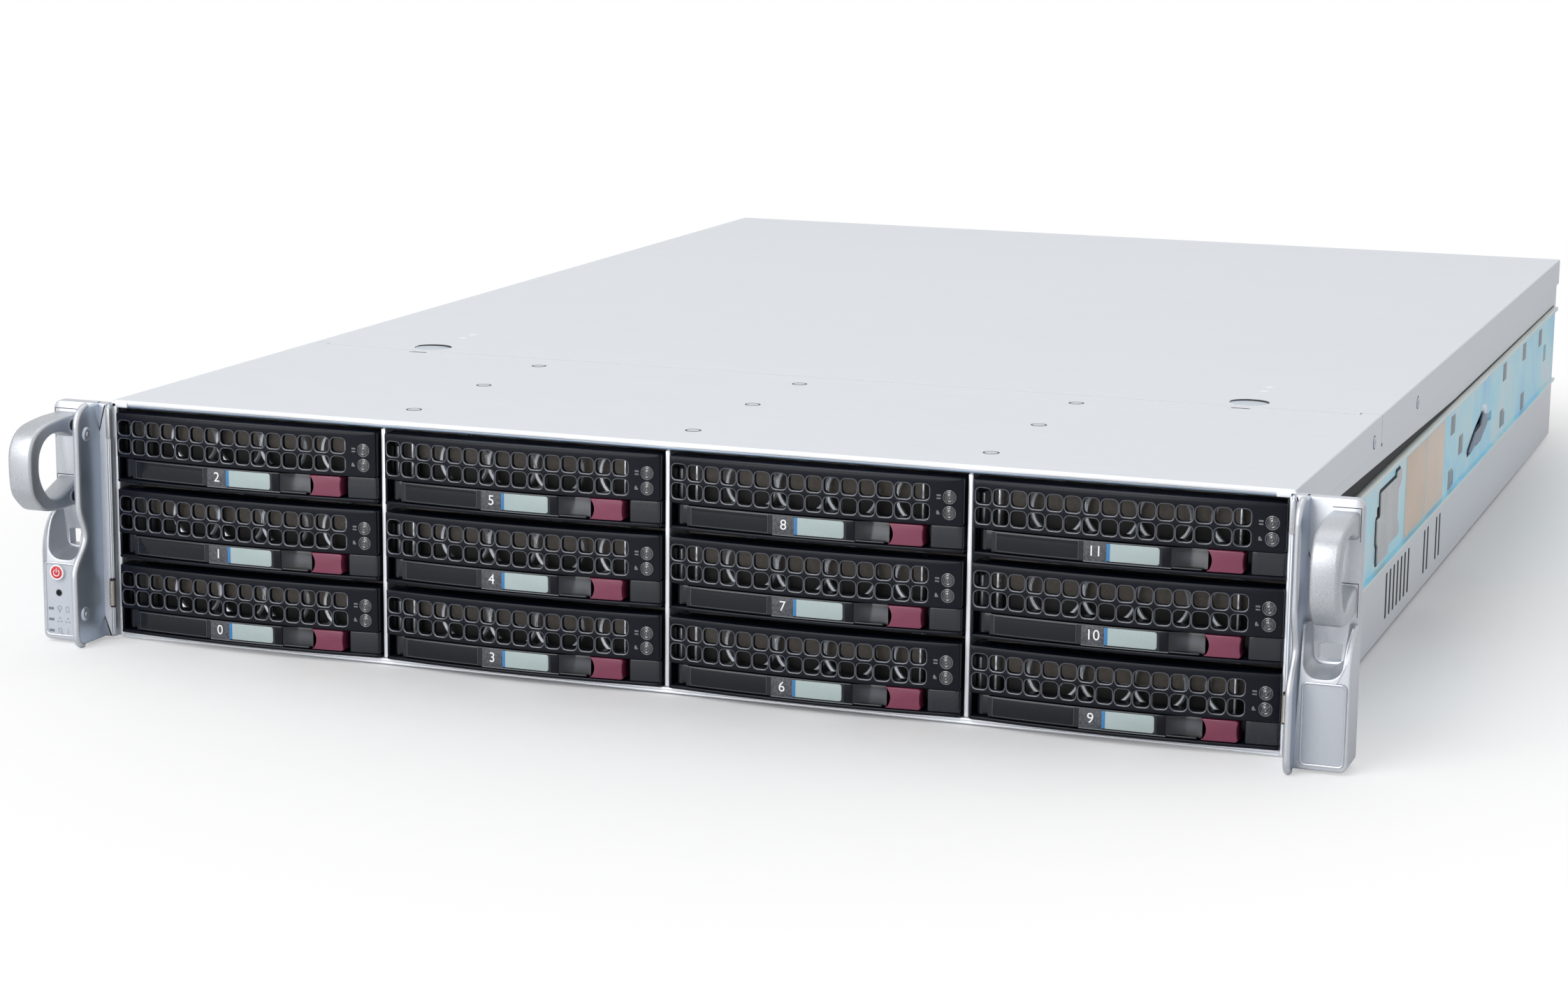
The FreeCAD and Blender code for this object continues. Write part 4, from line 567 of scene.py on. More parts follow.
def grille_cells(steps=4):
    """Air holes, each with the square of face round it.

    Round a hole the points follow its softened rectangle. Across, they run from the square's
    edge over a rolled lip, back through the wall and out to the square's edge behind it.
    """
    rect = np.array(rectangle(-1, 1, -1, 1), float)
    half = np.array(HOLE) / 2
    rim = [soften(rect * (half + e), HOLE_ROUND + e, steps) for e in (0.42, 0.13, 0.0)]
    corner = rect * np.array(CELL) / 2
    ends = rim[2].reshape(4, steps + 1, 2)
    edge = np.repeat(corner[:, None], steps + 1, 1)
    upright = np.array([1, 0, 1, 0], bool)[:, None]
    edge[:, 0] = np.where(upright * [1, 0] + ~upright * [0, 1], corner, ends[:, 0])
    edge[:, -1] = np.where(upright * [0, 1] + ~upright * [1, 0], corner, ends[:, -1])
    edge = edge.reshape(-1, 2)
    levels = ((edge, 0.0), (rim[0], 0.0), (rim[1], 0.13), (rim[2], 0.45),
              (rim[2], GRILLE_WALL), (edge, GRILLE_WALL))
    flat = np.stack([outline for outline, _ in levels])
    depth = np.array([d for _, d in levels])[:, None]
    x = HOLE_X[:, None, None, None] + flat[None, None, :, :, 0]
    z = HOLE_Z[None, :, None, None] + flat[None, None, :, :, 1]
    x, z = np.broadcast_arrays(x, z)
    return np.stack([x, bow(x) + depth, z], -1)


def grille_surround():
    """The face round the cells, out to the rolled edge, the side walls and back inside.

    It is a ruled surface between the cells' outer edge and the bezel's outline.
    """
    reach = np.array(HOLE) / 2 - HOLE_ROUND
    xs = np.unique(np.concatenate([HOLE_X[:, None] + [-CELL[0] / 2, -reach[0], reach[0],
                                                      CELL[0] / 2]]).round(4))
    zs = np.unique(np.concatenate([HOLE_Z[:, None] + [-CELL[1] / 2, -reach[1], reach[1],
                                                      CELL[1] / 2]]).round(4))
    x0, x1, z0, z1 = xs[0], xs[-1], zs[0], zs[-1]
    arcs = soften(rectangle(0, WIDTH, CHANNEL_TOP, HEIGHT), (0.5, 0.9, 0.9, 0.5), 3)
    arcs = arcs.reshape(4, 4, 2)

    def side(x, z):
        return np.stack(np.broadcast_arrays(x, z), -1)

    inner = [side(xs, z0), side(np.full(4, x1), z0), side(x1, zs), side(np.full(4, x1), z1),
             side(xs[::-1], z1), side(np.full(4, x0), z1), side(x0, zs[::-1]),
             side(np.full(4, x0), z0)]
    outer = [side(xs, CHANNEL_TOP), arcs[1], side(WIDTH, zs), arcs[2], side(xs[::-1], HEIGHT),
             arcs[3], side(0.0, zs[::-1]), arcs[0]]
    inner, outer = np.concatenate(inner), np.concatenate(outer)
    levels = []
    for outline, depth in ((inner, 0), (inset(outer, 0.55), 0), (inset(outer, 0.16), 0.16),
                           (outer, 0.55)):
        levels.append(np.stack([outline[:, 0], bow(outline[:, 0]) + depth, outline[:, 1]], 1))
    thin = inset(outer, 0.5)
    for outline in (outer, thin):
        levels.append(np.stack([outline[:, 0], np.full(len(outline), BACK_Y), outline[:, 1]], 1))
    for outline in (thin, inner):
        y = bow(outline[:, 0]) + GRILLE_WALL
        levels.append(np.stack([outline[:, 0], y, outline[:, 1]], 1))
    return np.stack(levels)


def bowed_bar(x0, x1, z0, z1, back, rear, edge=0.4, corner=0.4, stations=24):
    """Bar whose front follows the bow, back behind it, carried up from z0 to z1.

    Within corner of either end the front falls back on a quarter circle.
    """
    a = np.linspace(0, math.pi / 2, 4)[:-1]
    near = corner * (1 - np.cos(a))
    x = np.concatenate([x0 + near, np.linspace(x0 + corner, x1 - corner, stations),
                        (x1 - near)[::-1]])
    reach = np.clip(corner - np.minimum(x - x0, x1 - x), 0, corner)
    front = bow(x, back) + corner - np.sqrt(corner ** 2 - reach ** 2)
    outline = np.concatenate([np.stack([x, front], 1), [(x1, rear), (x0, rear)]])
    return slab(outline, z0, z1, edge)


CELLS = grille_cells()
SURROUND = grille_surround()
LIP = bowed_bar(0.0, WIDTH, 0.0, 1.3, 0.0, BACK_Y, 0.45, 0.6)
FIXED_END = bowed_bar(94.4, WIDTH, 1.2, 9.3, 0.6, BACK_Y, 0.5, 0.8, 8)
CHANNEL_WALLS = [block(0.0, 0.9, -1.6, BACK_Y, 1.2, 9.3, 0.3, 0.2),
                 block(0.9, WIDTH - 0.4, 4.5, BACK_Y, 1.0, 9.4, 0.2, 0.1)]
LENS_X, LENS_Z = 101.0, (19.0, 13.6)
lens_places = np.array([(LENS_X, bow(LENS_X), z) for z in LENS_Z])[:, None, None]
LENSES = lens_places + turned([(0.01, -0.2), (0.5, -0.5), (0.9, -0.2), (1.3, -0.05),
                               (1.6, -0.25), (1.9, -0.1), (1.95, 0.6)], (0, 0, 0), "y", 8)
LENS_RINGS = lens_places + turned([(1.9, 0.5), (1.95, -0.12), (2.15, -0.3), (2.4, -0.15),
                                   (2.45, 0.3)], (0, 0, 0), "y", 24)
SIGN_Y = bow(97.0) - 0.02
SIGNS = [block(95.9, 98.1, SIGN_Y, SIGN_Y + 0.1, 18.2, 18.7, 0.1, 0.01, "y"),
         block(95.9, 98.1, SIGN_Y, SIGN_Y + 0.1, 19.2, 19.8, 0.1, 0.01, "y"),
         slab(soften([(96.0, 13.0), (98.0, 13.0), (97.0, 14.6)], 0.15, 2), SIGN_Y, SIGN_Y + 0.1,
              0.01, "y")]
RAILS = [block(x, x + 1.2, BACK_Y - 0.4, 186.0, 0.2, 20.0, 0.3, 0.3) for x in (0.8, 103.6)]
CAST = finish("drive casting", (0.36, 0.37, 0.38), (0.22, 0.23, 0.24), 0.38, metal=0.8,
              grain=1500, cloud=90)
DRIVE_LID = finish("drive lid", (0.58, 0.59, 0.6), (0.5, 0.51, 0.52), 0.25, metal=0.9,
                   grain=900, stretch=(0.05, 1, 1), spread=0.15)
NOSE = finish("nose plate", (0.21, 0.185, 0.165), (0.13, 0.115, 0.10), 0.45, metal=0.1,
              grain=700, cloud=60)
# Painted highlight: the rings and uprights stand for stamped edges of the nose plate, and their
# near-white is painted glint.
NOSE_GLINT = finish("painted nose glint", (0.85, 0.88, 0.92), (0.6, 0.64, 0.7), 0.2, metal=0.6,
                grain=500, cloud=90)
# Painted shade: the near-black plate behind the lower holes.
NOSE_SHADE = finish("painted nose shade", (0.010, 0.009, 0.009), (0.005, 0.005, 0.005), 0.5)
NOSE_RING = turned([(8.3, 0.0), (8.4, -0.5), (9.2, -0.9), (9.8, -0.3), (9.8, 0.5), (8.3, 0.6)],
                   (0, 8.6, 15.8), "y", 32)
NOSE_PARTS = [(block(2.0, 103.6, 12.0, 12.8, 13.9, 25.0, 0.2, 0.1, "y"), NOSE, True),
              (block(2.0, 103.6, 13.0, 13.7, 1.0, 14.0, 0.2, 0.1, "y"), NOSE_SHADE, True),
              (block(7.0, 100.0, 11.3, 12.4, 13.3, 14.0, 0.2, 0.2, "x"), CAST, True),
              (block(5.9, 6.9, 7.4, 12.6, 2.0, 24.0, 0.3, 0.2), NOSE_GLINT, True),
              (block(88.2, 89.0, 7.4, 12.6, 2.0, 24.0, 0.3, 0.2), NOSE_GLINT, True),
              (np.array([(x, 0, 0) for x in (26.5, 45.0, 63.0, 88.0)])[:, None, None]
               + NOSE_RING, NOSE_GLINT, False)]
DRIVE = block(2.0, 103.6, 38.0, 185.0, 0.3, 25.2, 1.6, 0.5)
LID = block(3.2, 102.4, 39.2, 184.0, 25.0, 26.4, 4.0, 0.3)
SCREWS = np.array([(x, y, 26.4) for x in (6.0, 52.8, 99.6) for y in (43.0, 112.0, 180.0)])
SCREWS = SCREWS[:, None, None] + turned([(0.01, 0.0), (1.6, 0.0), (1.9, -0.2), (1.9, -0.5)],
                                        (0, 0, 0), sides=12)
BAYS = {}
for number in range(12):
    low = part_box(f"carrier_{number:02d}")[0]
    BAYS[number] = np.array([low[0] / MM, 0.0, low[2] / MM])
for number, bay in BAYS.items():
    body = f"carrier_{number:02d}"
    cells = CELLS + bay
    # The rolled lips of the holes take the painted rim highlight.
    surfaces = [(cells[..., :2, :, :], BLACK, True, False),
                (cells[..., 1:4, :, :], HOLE_RIM_HIGHLIGHT, True, False),
                (cells[..., 3:, :, :], BLACK, True, False), (SURROUND + bay, BLACK, True, False),
                (LIP + bay, BLACK, True, True), (FIXED_END + bay, SMOKE, True, True)]
    surfaces += [(wall + bay, BLACK, True, True) for wall in CHANNEL_WALLS]
    piece(f"bezel_{number:02d}", body, surfaces, [body])
    piece(f"bezel_lights_{number:02d}", body,
          [(LENSES + bay, LENS, True, False), (LENS_RINGS + bay, LENS_RIM, True, False)]
          + [(sign + bay, PRINT_AND_EDGE_HIGHLIGHT, True, True) for sign in SIGNS])
    piece(f"drive_{number:02d}", body,
          [(rail + bay, PLATED, True, True) for rail in RAILS]
          + [(DRIVE + bay, CAST, True, True), (LID + bay, DRIVE_LID, True, True),
             (SCREWS + bay, RIVET, True, False)])
    piece(f"drive_nose_{number:02d}", body,
          [(part + bay, material, True, ends) for part, material, ends in NOSE_PARTS])


# ------------------------------------------------------------------ carrier levers
# A moulded bar that swings out of the bezel's channel on a barrel at its left end. It carries a
# smoked window, a speckled number tile and a two-coloured label, and ends in a finger scoop.

# A painted highlight band is laid over this black across each finger scoop, further down.
GLOSS_BLACK = finish("glossy lever moulding with painted scoop highlight", (0.007, 0.008, 0.013), (0.005, 0.006, 0.009), 0.16,
                     grain=3000, spread=0.05, bump=0.02, Specular_IOR_Level=0.4)
WINDOW = finish("smoked window", (0.007, 0.009, 0.013), (0.005, 0.006, 0.009), 0.08, grain=2500,
                spread=0.04, bump=0.01, Specular_IOR_Level=0.25)
WINDOW_EDGE = finish("window edge", (0.065, 0.072, 0.085), (0.035, 0.04, 0.048), 0.2, grain=2500)
TILE = finish("speckled tile", (0.085, 0.09, 0.105), (0.012, 0.013, 0.017), 0.4, grain=1500,
              share=0.9)
LABEL_BLUE = finish("label blue", (0.03, 0.19, 0.42), (0.022, 0.15, 0.36), 0.4)
LABEL_PALE = finish("label pale", (0.36, 0.43, 0.43), (0.31, 0.38, 0.38), 0.45)
WHITE = finish("white print", (0.8, 0.8, 0.8), (0.7, 0.7, 0.7), 0.5)
LEVER_X, LEVER_Z, LEVER_BACK = (6.9, 81.2), (1.6, 8.9), 0.2
SCOOP_START = 68.0
SCOOP_X, SCOOP_DEPTH, SCOOP_RADIUS = 77.2, 1.5, 24.0
SCOOP_LEAN = 0.17                              # how far the scoop leans back as it rises
PIVOT = (4.3, 1.6)
END_BULGE = 1.5
LEVER_MIDDLE, LEVER_HALF = 5.25, 3.65


def end_curve(z):
    """Swell of the lever's right end at a height: a parabola, END_BULGE at mid height."""
    return END_BULGE * (1 - np.clip((z - LEVER_MIDDLE) / LEVER_HALF, -1, 1) ** 2)


def lever_bar():
    """Bar in plan: the bow as far as the scoop, then the scoop's circle to the right end.

    The last 4 mm are drawn out to the right by end_curve.
    """
    end = LEVER_X[1] - END_BULGE
    x = np.concatenate([np.linspace(LEVER_X[0], SCOOP_START - 0.5, 26),
                        np.linspace(SCOOP_START, end, 22)])
    floor = float(bow(SCOOP_X, LEVER_BACK)) + SCOOP_DEPTH - SCOOP_RADIUS
    dip = floor + np.sqrt(np.maximum(SCOOP_RADIUS ** 2 - (x - SCOOP_X) ** 2, 0))
    front = np.logaddexp(6 * bow(x, LEVER_BACK), 6 * dip) / 6
    outline = np.concatenate([np.stack([x, front], 1), [(end, 1.6), (LEVER_X[0], 1.6)]])
    points = slab(outline, LEVER_Z[0], LEVER_Z[1], 0.5, steps=6)
    levels = np.linspace(LEVER_Z[0] + 0.5, LEVER_Z[1] - 0.5, 9)[1:-1, None]
    middle = np.broadcast_to(points[6], (7,) + points[6].shape).copy()
    middle[..., 2] = levels
    points = np.concatenate([points[:7], middle, points[7:]])
    points[..., 0] += (np.clip((points[..., 0] - end + 4) / 4, 0, 1) ** 2
                       * end_curve(points[..., 2]))
    lean = np.clip((points[..., 0] - SCOOP_START) / 6, 0, 1) * (points[..., 1] < 1.0)
    points[..., 1] += SCOOP_LEAN * lean * (points[..., 2] - LEVER_Z[0])
    return points


def bowed_tile(outline, back, rear, edge=0.15, steps=2):
    """Tile standing on the bow: an (x, z) outline carried back from the bow to rear."""
    points = slab(outline, 0.0, 1.0, edge, "y", steps)
    near = (np.arange(len(points)) <= steps)[:, None]
    y = np.where(near, bow(points[..., 0], back) + points[..., 1], rear - 1 + points[..., 1])
    return np.stack([points[..., 0], y, points[..., 2]], -1)


LEVER_PARTS = [lever_bar(), bowed_bar(68.6, 79.0, LEVER_Z[0], 2.3, LEVER_BACK, 1.5, 0.3),
               turned([(0.01, 1.6), (1.9, 1.6), (2.2, 1.9), (2.2, 8.6), (1.9, 8.9), (0.01, 8.9)],
                      (*PIVOT, 0), sides=24),
               block(PIVOT[0], LEVER_X[0] + 1, -0.6, 1.6, 1.8, 8.7, 0.3, 0.3)]
# The thin strip along the bottom of the tile and labels is painted highlight on the holder's lower
# edge.
PLATES = ((8.4, 37.4, 2.1, 8.5, WINDOW_EDGE, 0.14), (8.65, 37.15, 2.35, 8.3, WINDOW, 0.28),
          (39.0, 47.0, 1.9, 8.6, TILE, 0.1), (39.0, 68.6, 1.62, 1.95, PRINT_AND_EDGE_HIGHLIGHT, 0.2))
LABELS = ((soften(rectangle(46.9, 48.2, 2.4, 8.3), 0.1, 2), LABEL_BLUE, 0.2),
          (soften(rectangle(48.1, 64.7, 2.4, 8.3), (0.1, 0.9, 0.9, 0.1), 4), LABEL_PALE, 0.26),
          (soften(rectangle(65.5, 68.4, 2.0, 8.5), 0.2, 2), BLACK, 0.16))
NUMBER_X, NUMBER_Z, NUMBER_SIZE, NUMBER_PROUD = 43.0, 5.3, 5.0, 0.16


def combined(tree, operation, first, second):
    """Output of a Math node on a first output and a second output or value."""
    node = tree.nodes.new("ShaderNodeMath")
    node.operation = operation
    tree.links.new(first, node.inputs[0])
    if isinstance(second, bpy.types.NodeSocket):
        tree.links.new(second, node.inputs[1])
    else:
        node.inputs[1].default_value = second
    return node.outputs[0]


def add_sheen(material):
    """Painted highlight, a pale band across the scoop: each bay's own x and z come from wrapping by
    the pitch.
    """
    tree = material.node_tree
    place, split = tree.nodes.new("ShaderNodeTexCoord"), tree.nodes.new("ShaderNodeSeparateXYZ")
    tree.links.new(place.outputs["Object"], split.inputs[0])
    highlight_masks = []
    for axis, number, stops in ((0, 3, (68.0, 77.0, 81.5, 83.0)), (2, 1, (2.6, 5.6, 6.4, 8.2))):
        pitch = (BAYS[number] - BAYS[0])[axis] * MM
        start = BAYS[0][axis] * MM
        local = tree.nodes.new("ShaderNodeMath")
        local.operation = "WRAP"
        local.inputs[1].default_value, local.inputs[2].default_value = start + pitch, start
        tree.links.new(split.outputs[axis], local.inputs[0])
        for near, far, values in ((stops[0], stops[1], (0, 1)), (stops[2], stops[3], (1, 0))):
            ramp = tree.nodes.new("ShaderNodeMapRange")
            ramp.interpolation_type = "SMOOTHSTEP"
            for socket, value in (("From Min", start + near * MM), ("From Max", start + far * MM),
                                  ("To Min", values[0]), ("To Max", values[1])):
                ramp.inputs[socket].default_value = value
            tree.links.new(local.outputs[0], ramp.inputs["Value"])
            highlight_masks.append(ramp.outputs[0])
    share = highlight_masks[0]
    for other in highlight_masks[1:]:
        share = combined(tree, "MULTIPLY", share, other)
    tint_over(material, share, (0.045, 0.050, 0.063, 1))


add_sheen(GLOSS_BLACK)


def digits(text, size, centre, y):
    """Plain numerals as a flat mesh, standing in the xz plane."""
    curve = bpy.data.curves.new("digits", "FONT")
    curve.body = text
    curve.size = size
    curve.align_x = curve.align_y = "CENTER"
    curve.extrude = 0.03
    made = bpy.data.objects.new("digits", curve)
    bpy.context.scene.collection.objects.link(made)
    bpy.context.view_layer.update()
    mesh = bpy.data.meshes.new_from_object(made)
    bpy.data.objects.remove(made)
    turn = Matrix(((1, 0, 0, centre[0]), (0, 0, -1, y), (0, 1, 0, centre[1]), (0, 0, 0, 1)))
    mesh.transform(Matrix.Scale(MM, 4) @ turn)
    return mesh


for number, bay in BAYS.items():
    body = f"lever_{number:02d}"
    surfaces = [(part + bay, GLOSS_BLACK, True, n < 2 or n == 3)
                for n, part in enumerate(LEVER_PARTS)]
    piece(f"lever_bar_{number:02d}", body, surfaces, [body])
    plates = [(bowed_bar(x0, x1, z0, z1, LEVER_BACK - proud, 0.5, 0.08, 0.1, 10) + bay, material,
               True, True) for x0, x1, z0, z1, material, proud in PLATES]
    plates += [(bowed_tile(outline, LEVER_BACK - proud, 1.0, 0.06) + bay, material, True, True)
               for outline, material, proud in LABELS]
    piece(f"lever_plates_{number:02d}", body, plates)
    y = float(bow(NUMBER_X, LEVER_BACK)) - NUMBER_PROUD + FRONT_Y
    print_mesh = digits(str(number), NUMBER_SIZE, (bay[0] + NUMBER_X, bay[2] + NUMBER_Z), y)
    print_mesh.materials.append(WHITE)
    mark = bpy.data.objects.new(f"lever_number_{number:02d}", print_mesh)
    bpy.context.scene.collection.objects.link(mark)
    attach(mark, body)


# ------------------------------------------------------------------ release tabs
# Maroon push tabs beside the levers, moulded in one piece with a rounded outer end.

MAROON = finish("maroon moulding", (0.175, 0.024, 0.062), (0.14, 0.018, 0.048), 0.3, grain=3000,
                spread=0.1, bump=0.05, coat=0.15)
TAB_RISE = np.linspace(8.5, 2.0, 9)
TAB_OUTLINE = np.concatenate([
    [(80.2, 1.6), (91.7, 1.6), (92.4, 2.2), (92.0, 4.2), (92.0, 6.4), (92.4, 8.3), (91.7, 8.9),
     (80.2, 8.9)],
    np.stack([LEVER_X[1] - END_BULGE + 0.4 + end_curve(TAB_RISE), TAB_RISE], 1)])
TAB = bowed_tile(TAB_OUTLINE, -0.1, 4.2, 0.35, 3)
for number, bay in BAYS.items():
    body = f"release_tab_{number:02d}"
    piece(f"tab_{number:02d}", body, [(TAB + bay, MAROON, True, True)], [body])


# ------------------------------------------------------------------ rack ears
# Zinc castings screwed to the chassis sides. Each has a plate with the rack slot, a lower pod
# with a hollow that leads to the slot, and a forward flange with a rolled, waved front edge.

CAST_SILVER = finish("cast silver", (0.55, 0.565, 0.60), (0.46, 0.48, 0.52), 0.36, metal=0.8,
                     grain=2200, cloud=30, share=0.7, spread=0.1, bump=0.14)
# Painted shade: a bluer copy of the cast silver for the flange, whose side faces lie in shade.
FLANGE_SHADED_SILVER = finish("flange silver with painted blue shade", (0.54, 0.61, 0.72), (0.44, 0.51, 0.61), 0.32, metal=0.85,
                       grain=2200, cloud=20, share=0.4, spread=0.08, bump=0.08)
PANEL_FILL = finish("bare panel", (0.45, 0.475, 0.52), (0.415, 0.44, 0.485), 0.5, grain=900)
KNUCKLE = finish("ridged knuckle", (0.44, 0.41, 0.37), (0.28, 0.26, 0.23), 0.4, metal=0.5)
EAR = np.array(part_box("right_ear")) / MM - (0, FRONT_Y, 0)
EAR_IN, EAR_OUT = EAR[0, 0] + 1.4, EAR[1, 0]
EAR_LOW, EAR_HIGH = EAR[0, 2], EAR[1, 2]
PLATE_Y, POD_Y, POD_HIGH, POD_EDGE, SHOULDER_Z = -4.0, -15.0, 47.4, 0.6, 32.0
FLANGE_X = (222.0, 224.2)
SLOT = (EAR_OUT - 8.75, 37.4, 5.15, 3.0)      # centre x and z, half length and half height


def ear_plate():
    """Plate with the rack slot: rings of points between the slot and the outline.

    Each column lies on one ray from the slot's centre, so the rings never cross.
    """
    outline = soften(rectangle(EAR_IN, EAR_OUT, EAR_LOW, EAR_HIGH), (0.4, 2.5, 3.2, 0.4), 6)
    along = np.linspace(0, 1, 7)[:-1, None]
    start, end = outline, np.roll(outline, -1, 0)
    spaced = (start[:, None] + along[None] * (end - start)[:, None]).reshape(-1, 2)
    ray = spaced - SLOT[:2]
    ray = ray / np.linalg.norm(ray, axis=1, keepdims=True)
    straight = SLOT[2] - SLOT[3]
    flat = SLOT[3] / np.maximum(np.abs(ray[:, 1]), 1e-6)
    turn = (np.abs(ray[:, 0]) * straight
            + np.sqrt(np.maximum(SLOT[3] ** 2 - (ray[:, 1] * straight) ** 2, 0)))
    reach = np.where(flat * np.abs(ray[:, 0]) <= straight, flat, turn)[:, None]
    rings = []
    for shape, y in ((SLOT[:2] + ray * reach, 0.0), (SLOT[:2] + ray * reach, PLATE_Y + 0.5),
                     (SLOT[:2] + ray * (reach + 0.15), PLATE_Y + 0.15),
                     (SLOT[:2] + ray * (reach + 0.5), PLATE_Y), (inset(spaced, 0.8), PLATE_Y),
                     (inset(spaced, 0.25), PLATE_Y + 0.25), (spaced, PLATE_Y + 0.8),
                     (spaced, 0.0),
                     (SLOT[:2] + ray * reach, 0.0)):
        rings.append(np.stack([shape[:, 0], np.full(len(shape), y), shape[:, 1]], 1))
    return np.stack(rings)


def pod():
    """Lower pod: a U round the hollow, drawn in round at the front and tapering to the back.

    Above SHOULDER_Z its depth falls off as a quarter of an ellipse.
    """
    def around(left, right, floor, corner):
        bend = soften([(right, POD_HIGH), (right, floor), (left, floor), (left, POD_HIGH)],
                      (0.01, corner, corner, 0.01), 8).reshape(4, 9, 2)[1:3].reshape(-1, 2)
        rise = np.linspace(0, 1, 6)[:-1, None]
        down = np.array([(right + 1.0, POD_HIGH)]) * (1 - rise) + bend[:1] * rise
        up = bend[-1:] * (0.8 - rise) + np.array([(left - 0.4, POD_HIGH)]) * (rise + 0.2)
        foot = soften(rectangle(FLANGE_X[0] + 1.0, EAR_OUT, EAR_LOW, POD_HIGH),
                      (1.0, 2.4, 1.0, 1.0), 5).reshape(4, 6, 2)
        climb = np.linspace(SHOULDER_Z, POD_HIGH - 1.4, 8)
        outer, inner = (np.stack([np.full(8, x), climb], 1)
                        for x in (EAR_OUT, FLANGE_X[0] + 1.0))
        return np.concatenate([foot[0], foot[1], outer, foot[2], down, bend, up, foot[3],
                               inner[::-1]])

    front = around(225.8, 238.4, 30.9, 5.0)
    back = around(227.0, 237.2, 33.6, 3.4)
    a = np.linspace(0, math.pi / 2, 5)
    levels = [back]
    places = [PLATE_Y + 0.2]
    depth = POD_Y - PLATE_Y
    for share in (0.35, 0.7):
        levels.append(back + (front - back) * share)
        places.append(PLATE_Y + depth * share)
    for turn in a[::-1]:
        levels.append(inset(front, POD_EDGE * (1 - math.sin(turn))))
        places.append(POD_Y + POD_EDGE * (1 - math.cos(turn)))
    flat = np.stack(levels)
    fall = np.clip((flat[..., 1:] - SHOULDER_Z) / (POD_HIGH + 0.6 - SHOULDER_Z), 0, 1)
    y = PLATE_Y + 0.2 + (np.array(places)[:, None, None] - PLATE_Y - 0.2) * np.sqrt(1 - fall ** 2)
    return np.concatenate([flat[..., :1], y, flat[..., 1:]], -1)


def flange_outline():
    """Side view of the forward flange: its front edge waves between three depths."""
    def blend(z, low, high):
        t = np.clip((z - low) / (high - low), 0, 1)
        return t * t * (3 - 2 * t)

    z = np.linspace(5.0, 80.8, 44)
    front = -23.0 + 8.0 * blend(z, 27.0, 40.0) - 4.0 * blend(z, 40.0, 53.0)
    a = np.linspace(0, math.pi / 2, 7)
    foot = np.stack([-19.0 - 4.0 * np.sin(a), EAR_LOW + 4.0 - 4.0 * np.cos(a)], 1)
    head = np.stack([-12.0 - 7.0 * np.cos(a), EAR_HIGH - 7.0 + 7.0 * np.sin(a)], 1)
    return np.concatenate([[(-1.0, EAR_LOW)], foot, np.stack([front, z], 1), head,
                           [(-1.0, EAR_HIGH)]])


def tube(path, radius, closed=False, sides=8):
    """Round bar of a radius along a path of points."""
    path = np.asarray(path, float)
    ahead = np.roll(path, -1, 0) - np.roll(path, 1, 0) if closed else np.gradient(path, axis=0)
    ahead /= np.linalg.norm(ahead, axis=1, keepdims=True)
    side = np.cross(ahead, (0.0, 1.0, 0.013))
    side /= np.linalg.norm(side, axis=1, keepdims=True)
    a = np.linspace(0, 2 * math.pi, sides, endpoint=False)[None, :, None]
    rings = path[:, None] + radius * (np.cos(a) * side[:, None]
                                      + np.sin(a) * np.cross(ahead, side)[:, None])
    return np.concatenate([rings, rings[:1]]) if closed else rings


def rolled_edge():
    """Bead along the flange's front edge, a little thicker than the flange."""
    front = flange_outline()[1:-1]
    middle = sum(FLANGE_X) / 2
    return tube(np.stack([np.full(len(front), middle), front[:, 0] + 0.9, front[:, 1]], 1), 1.25,
                sides=12)


PANEL = soften(rectangle(226.0, 239.9, 2.4, 29.4), 1.5, 5)
panel_path = np.stack([PANEL[:, 0], np.full(len(PANEL), POD_Y - 0.02), PANEL[:, 1]], 1)
# Thin dark lines along the handle roots on the plate are painted shade in the creases.
root_shade_lines = []
for low, high in ((73.6, 85.2), (48.8, 60.6)):
    root_shade_lines += [block(240.35, 240.6, PLATE_Y - 0.04, PLATE_Y + 0.2, low + 0.6, high, 0.1, 0.02),
                   block(231.2, 240.6, PLATE_Y - 0.04, PLATE_Y + 0.2, high - 0.2, high + 0.06,
                         0.05, 0.02, "y")]
EAR_SURFACES = [(ear_plate(), CAST_SILVER, True, False), (pod(), CAST_SILVER, True, True),
                (slab(flange_outline(), *FLANGE_X, 0.7, "x", 4), FLANGE_SHADED_SILVER, True, True),
                (rolled_edge(), CAST_SILVER, True, True),
                (block(WALL_X, WALL_X + 2.0, -2.0, 32.0, 6.0, 74.0, 0.6, 0.3), CAST_SILVER, True,
                 True),
                (slab(PANEL, POD_Y - 0.06, POD_Y + 0.4, 0.02, "y"), PANEL_FILL, True, True),
                (tube(panel_path, 0.42, closed=True), CAST_SILVER, True, False)]
EAR_SURFACES += [(line, PAINTED_SHADE, True, True) for line in root_shade_lines]
FLANGE_SCREW = turned([(0.01, -1.0), (0.9, -0.98), (1.0, -0.7), (1.3, -0.8), (2.1, -0.6),
                       (2.6, -0.15), (2.7, 0.2)], (FLANGE_X[0], 0, 0), "x", 24)
for y, z in ((-13.2, 78.0), (-17.6, 12.0)):
    EAR_SURFACES.append((FLANGE_SCREW + (0, y, z), RIVET, True, False))
both_sides("ear", EAR_SURFACES, {"right": ["right_ear"], "left": ["left_ear"]})

strip_x = WALL_X + 0.2
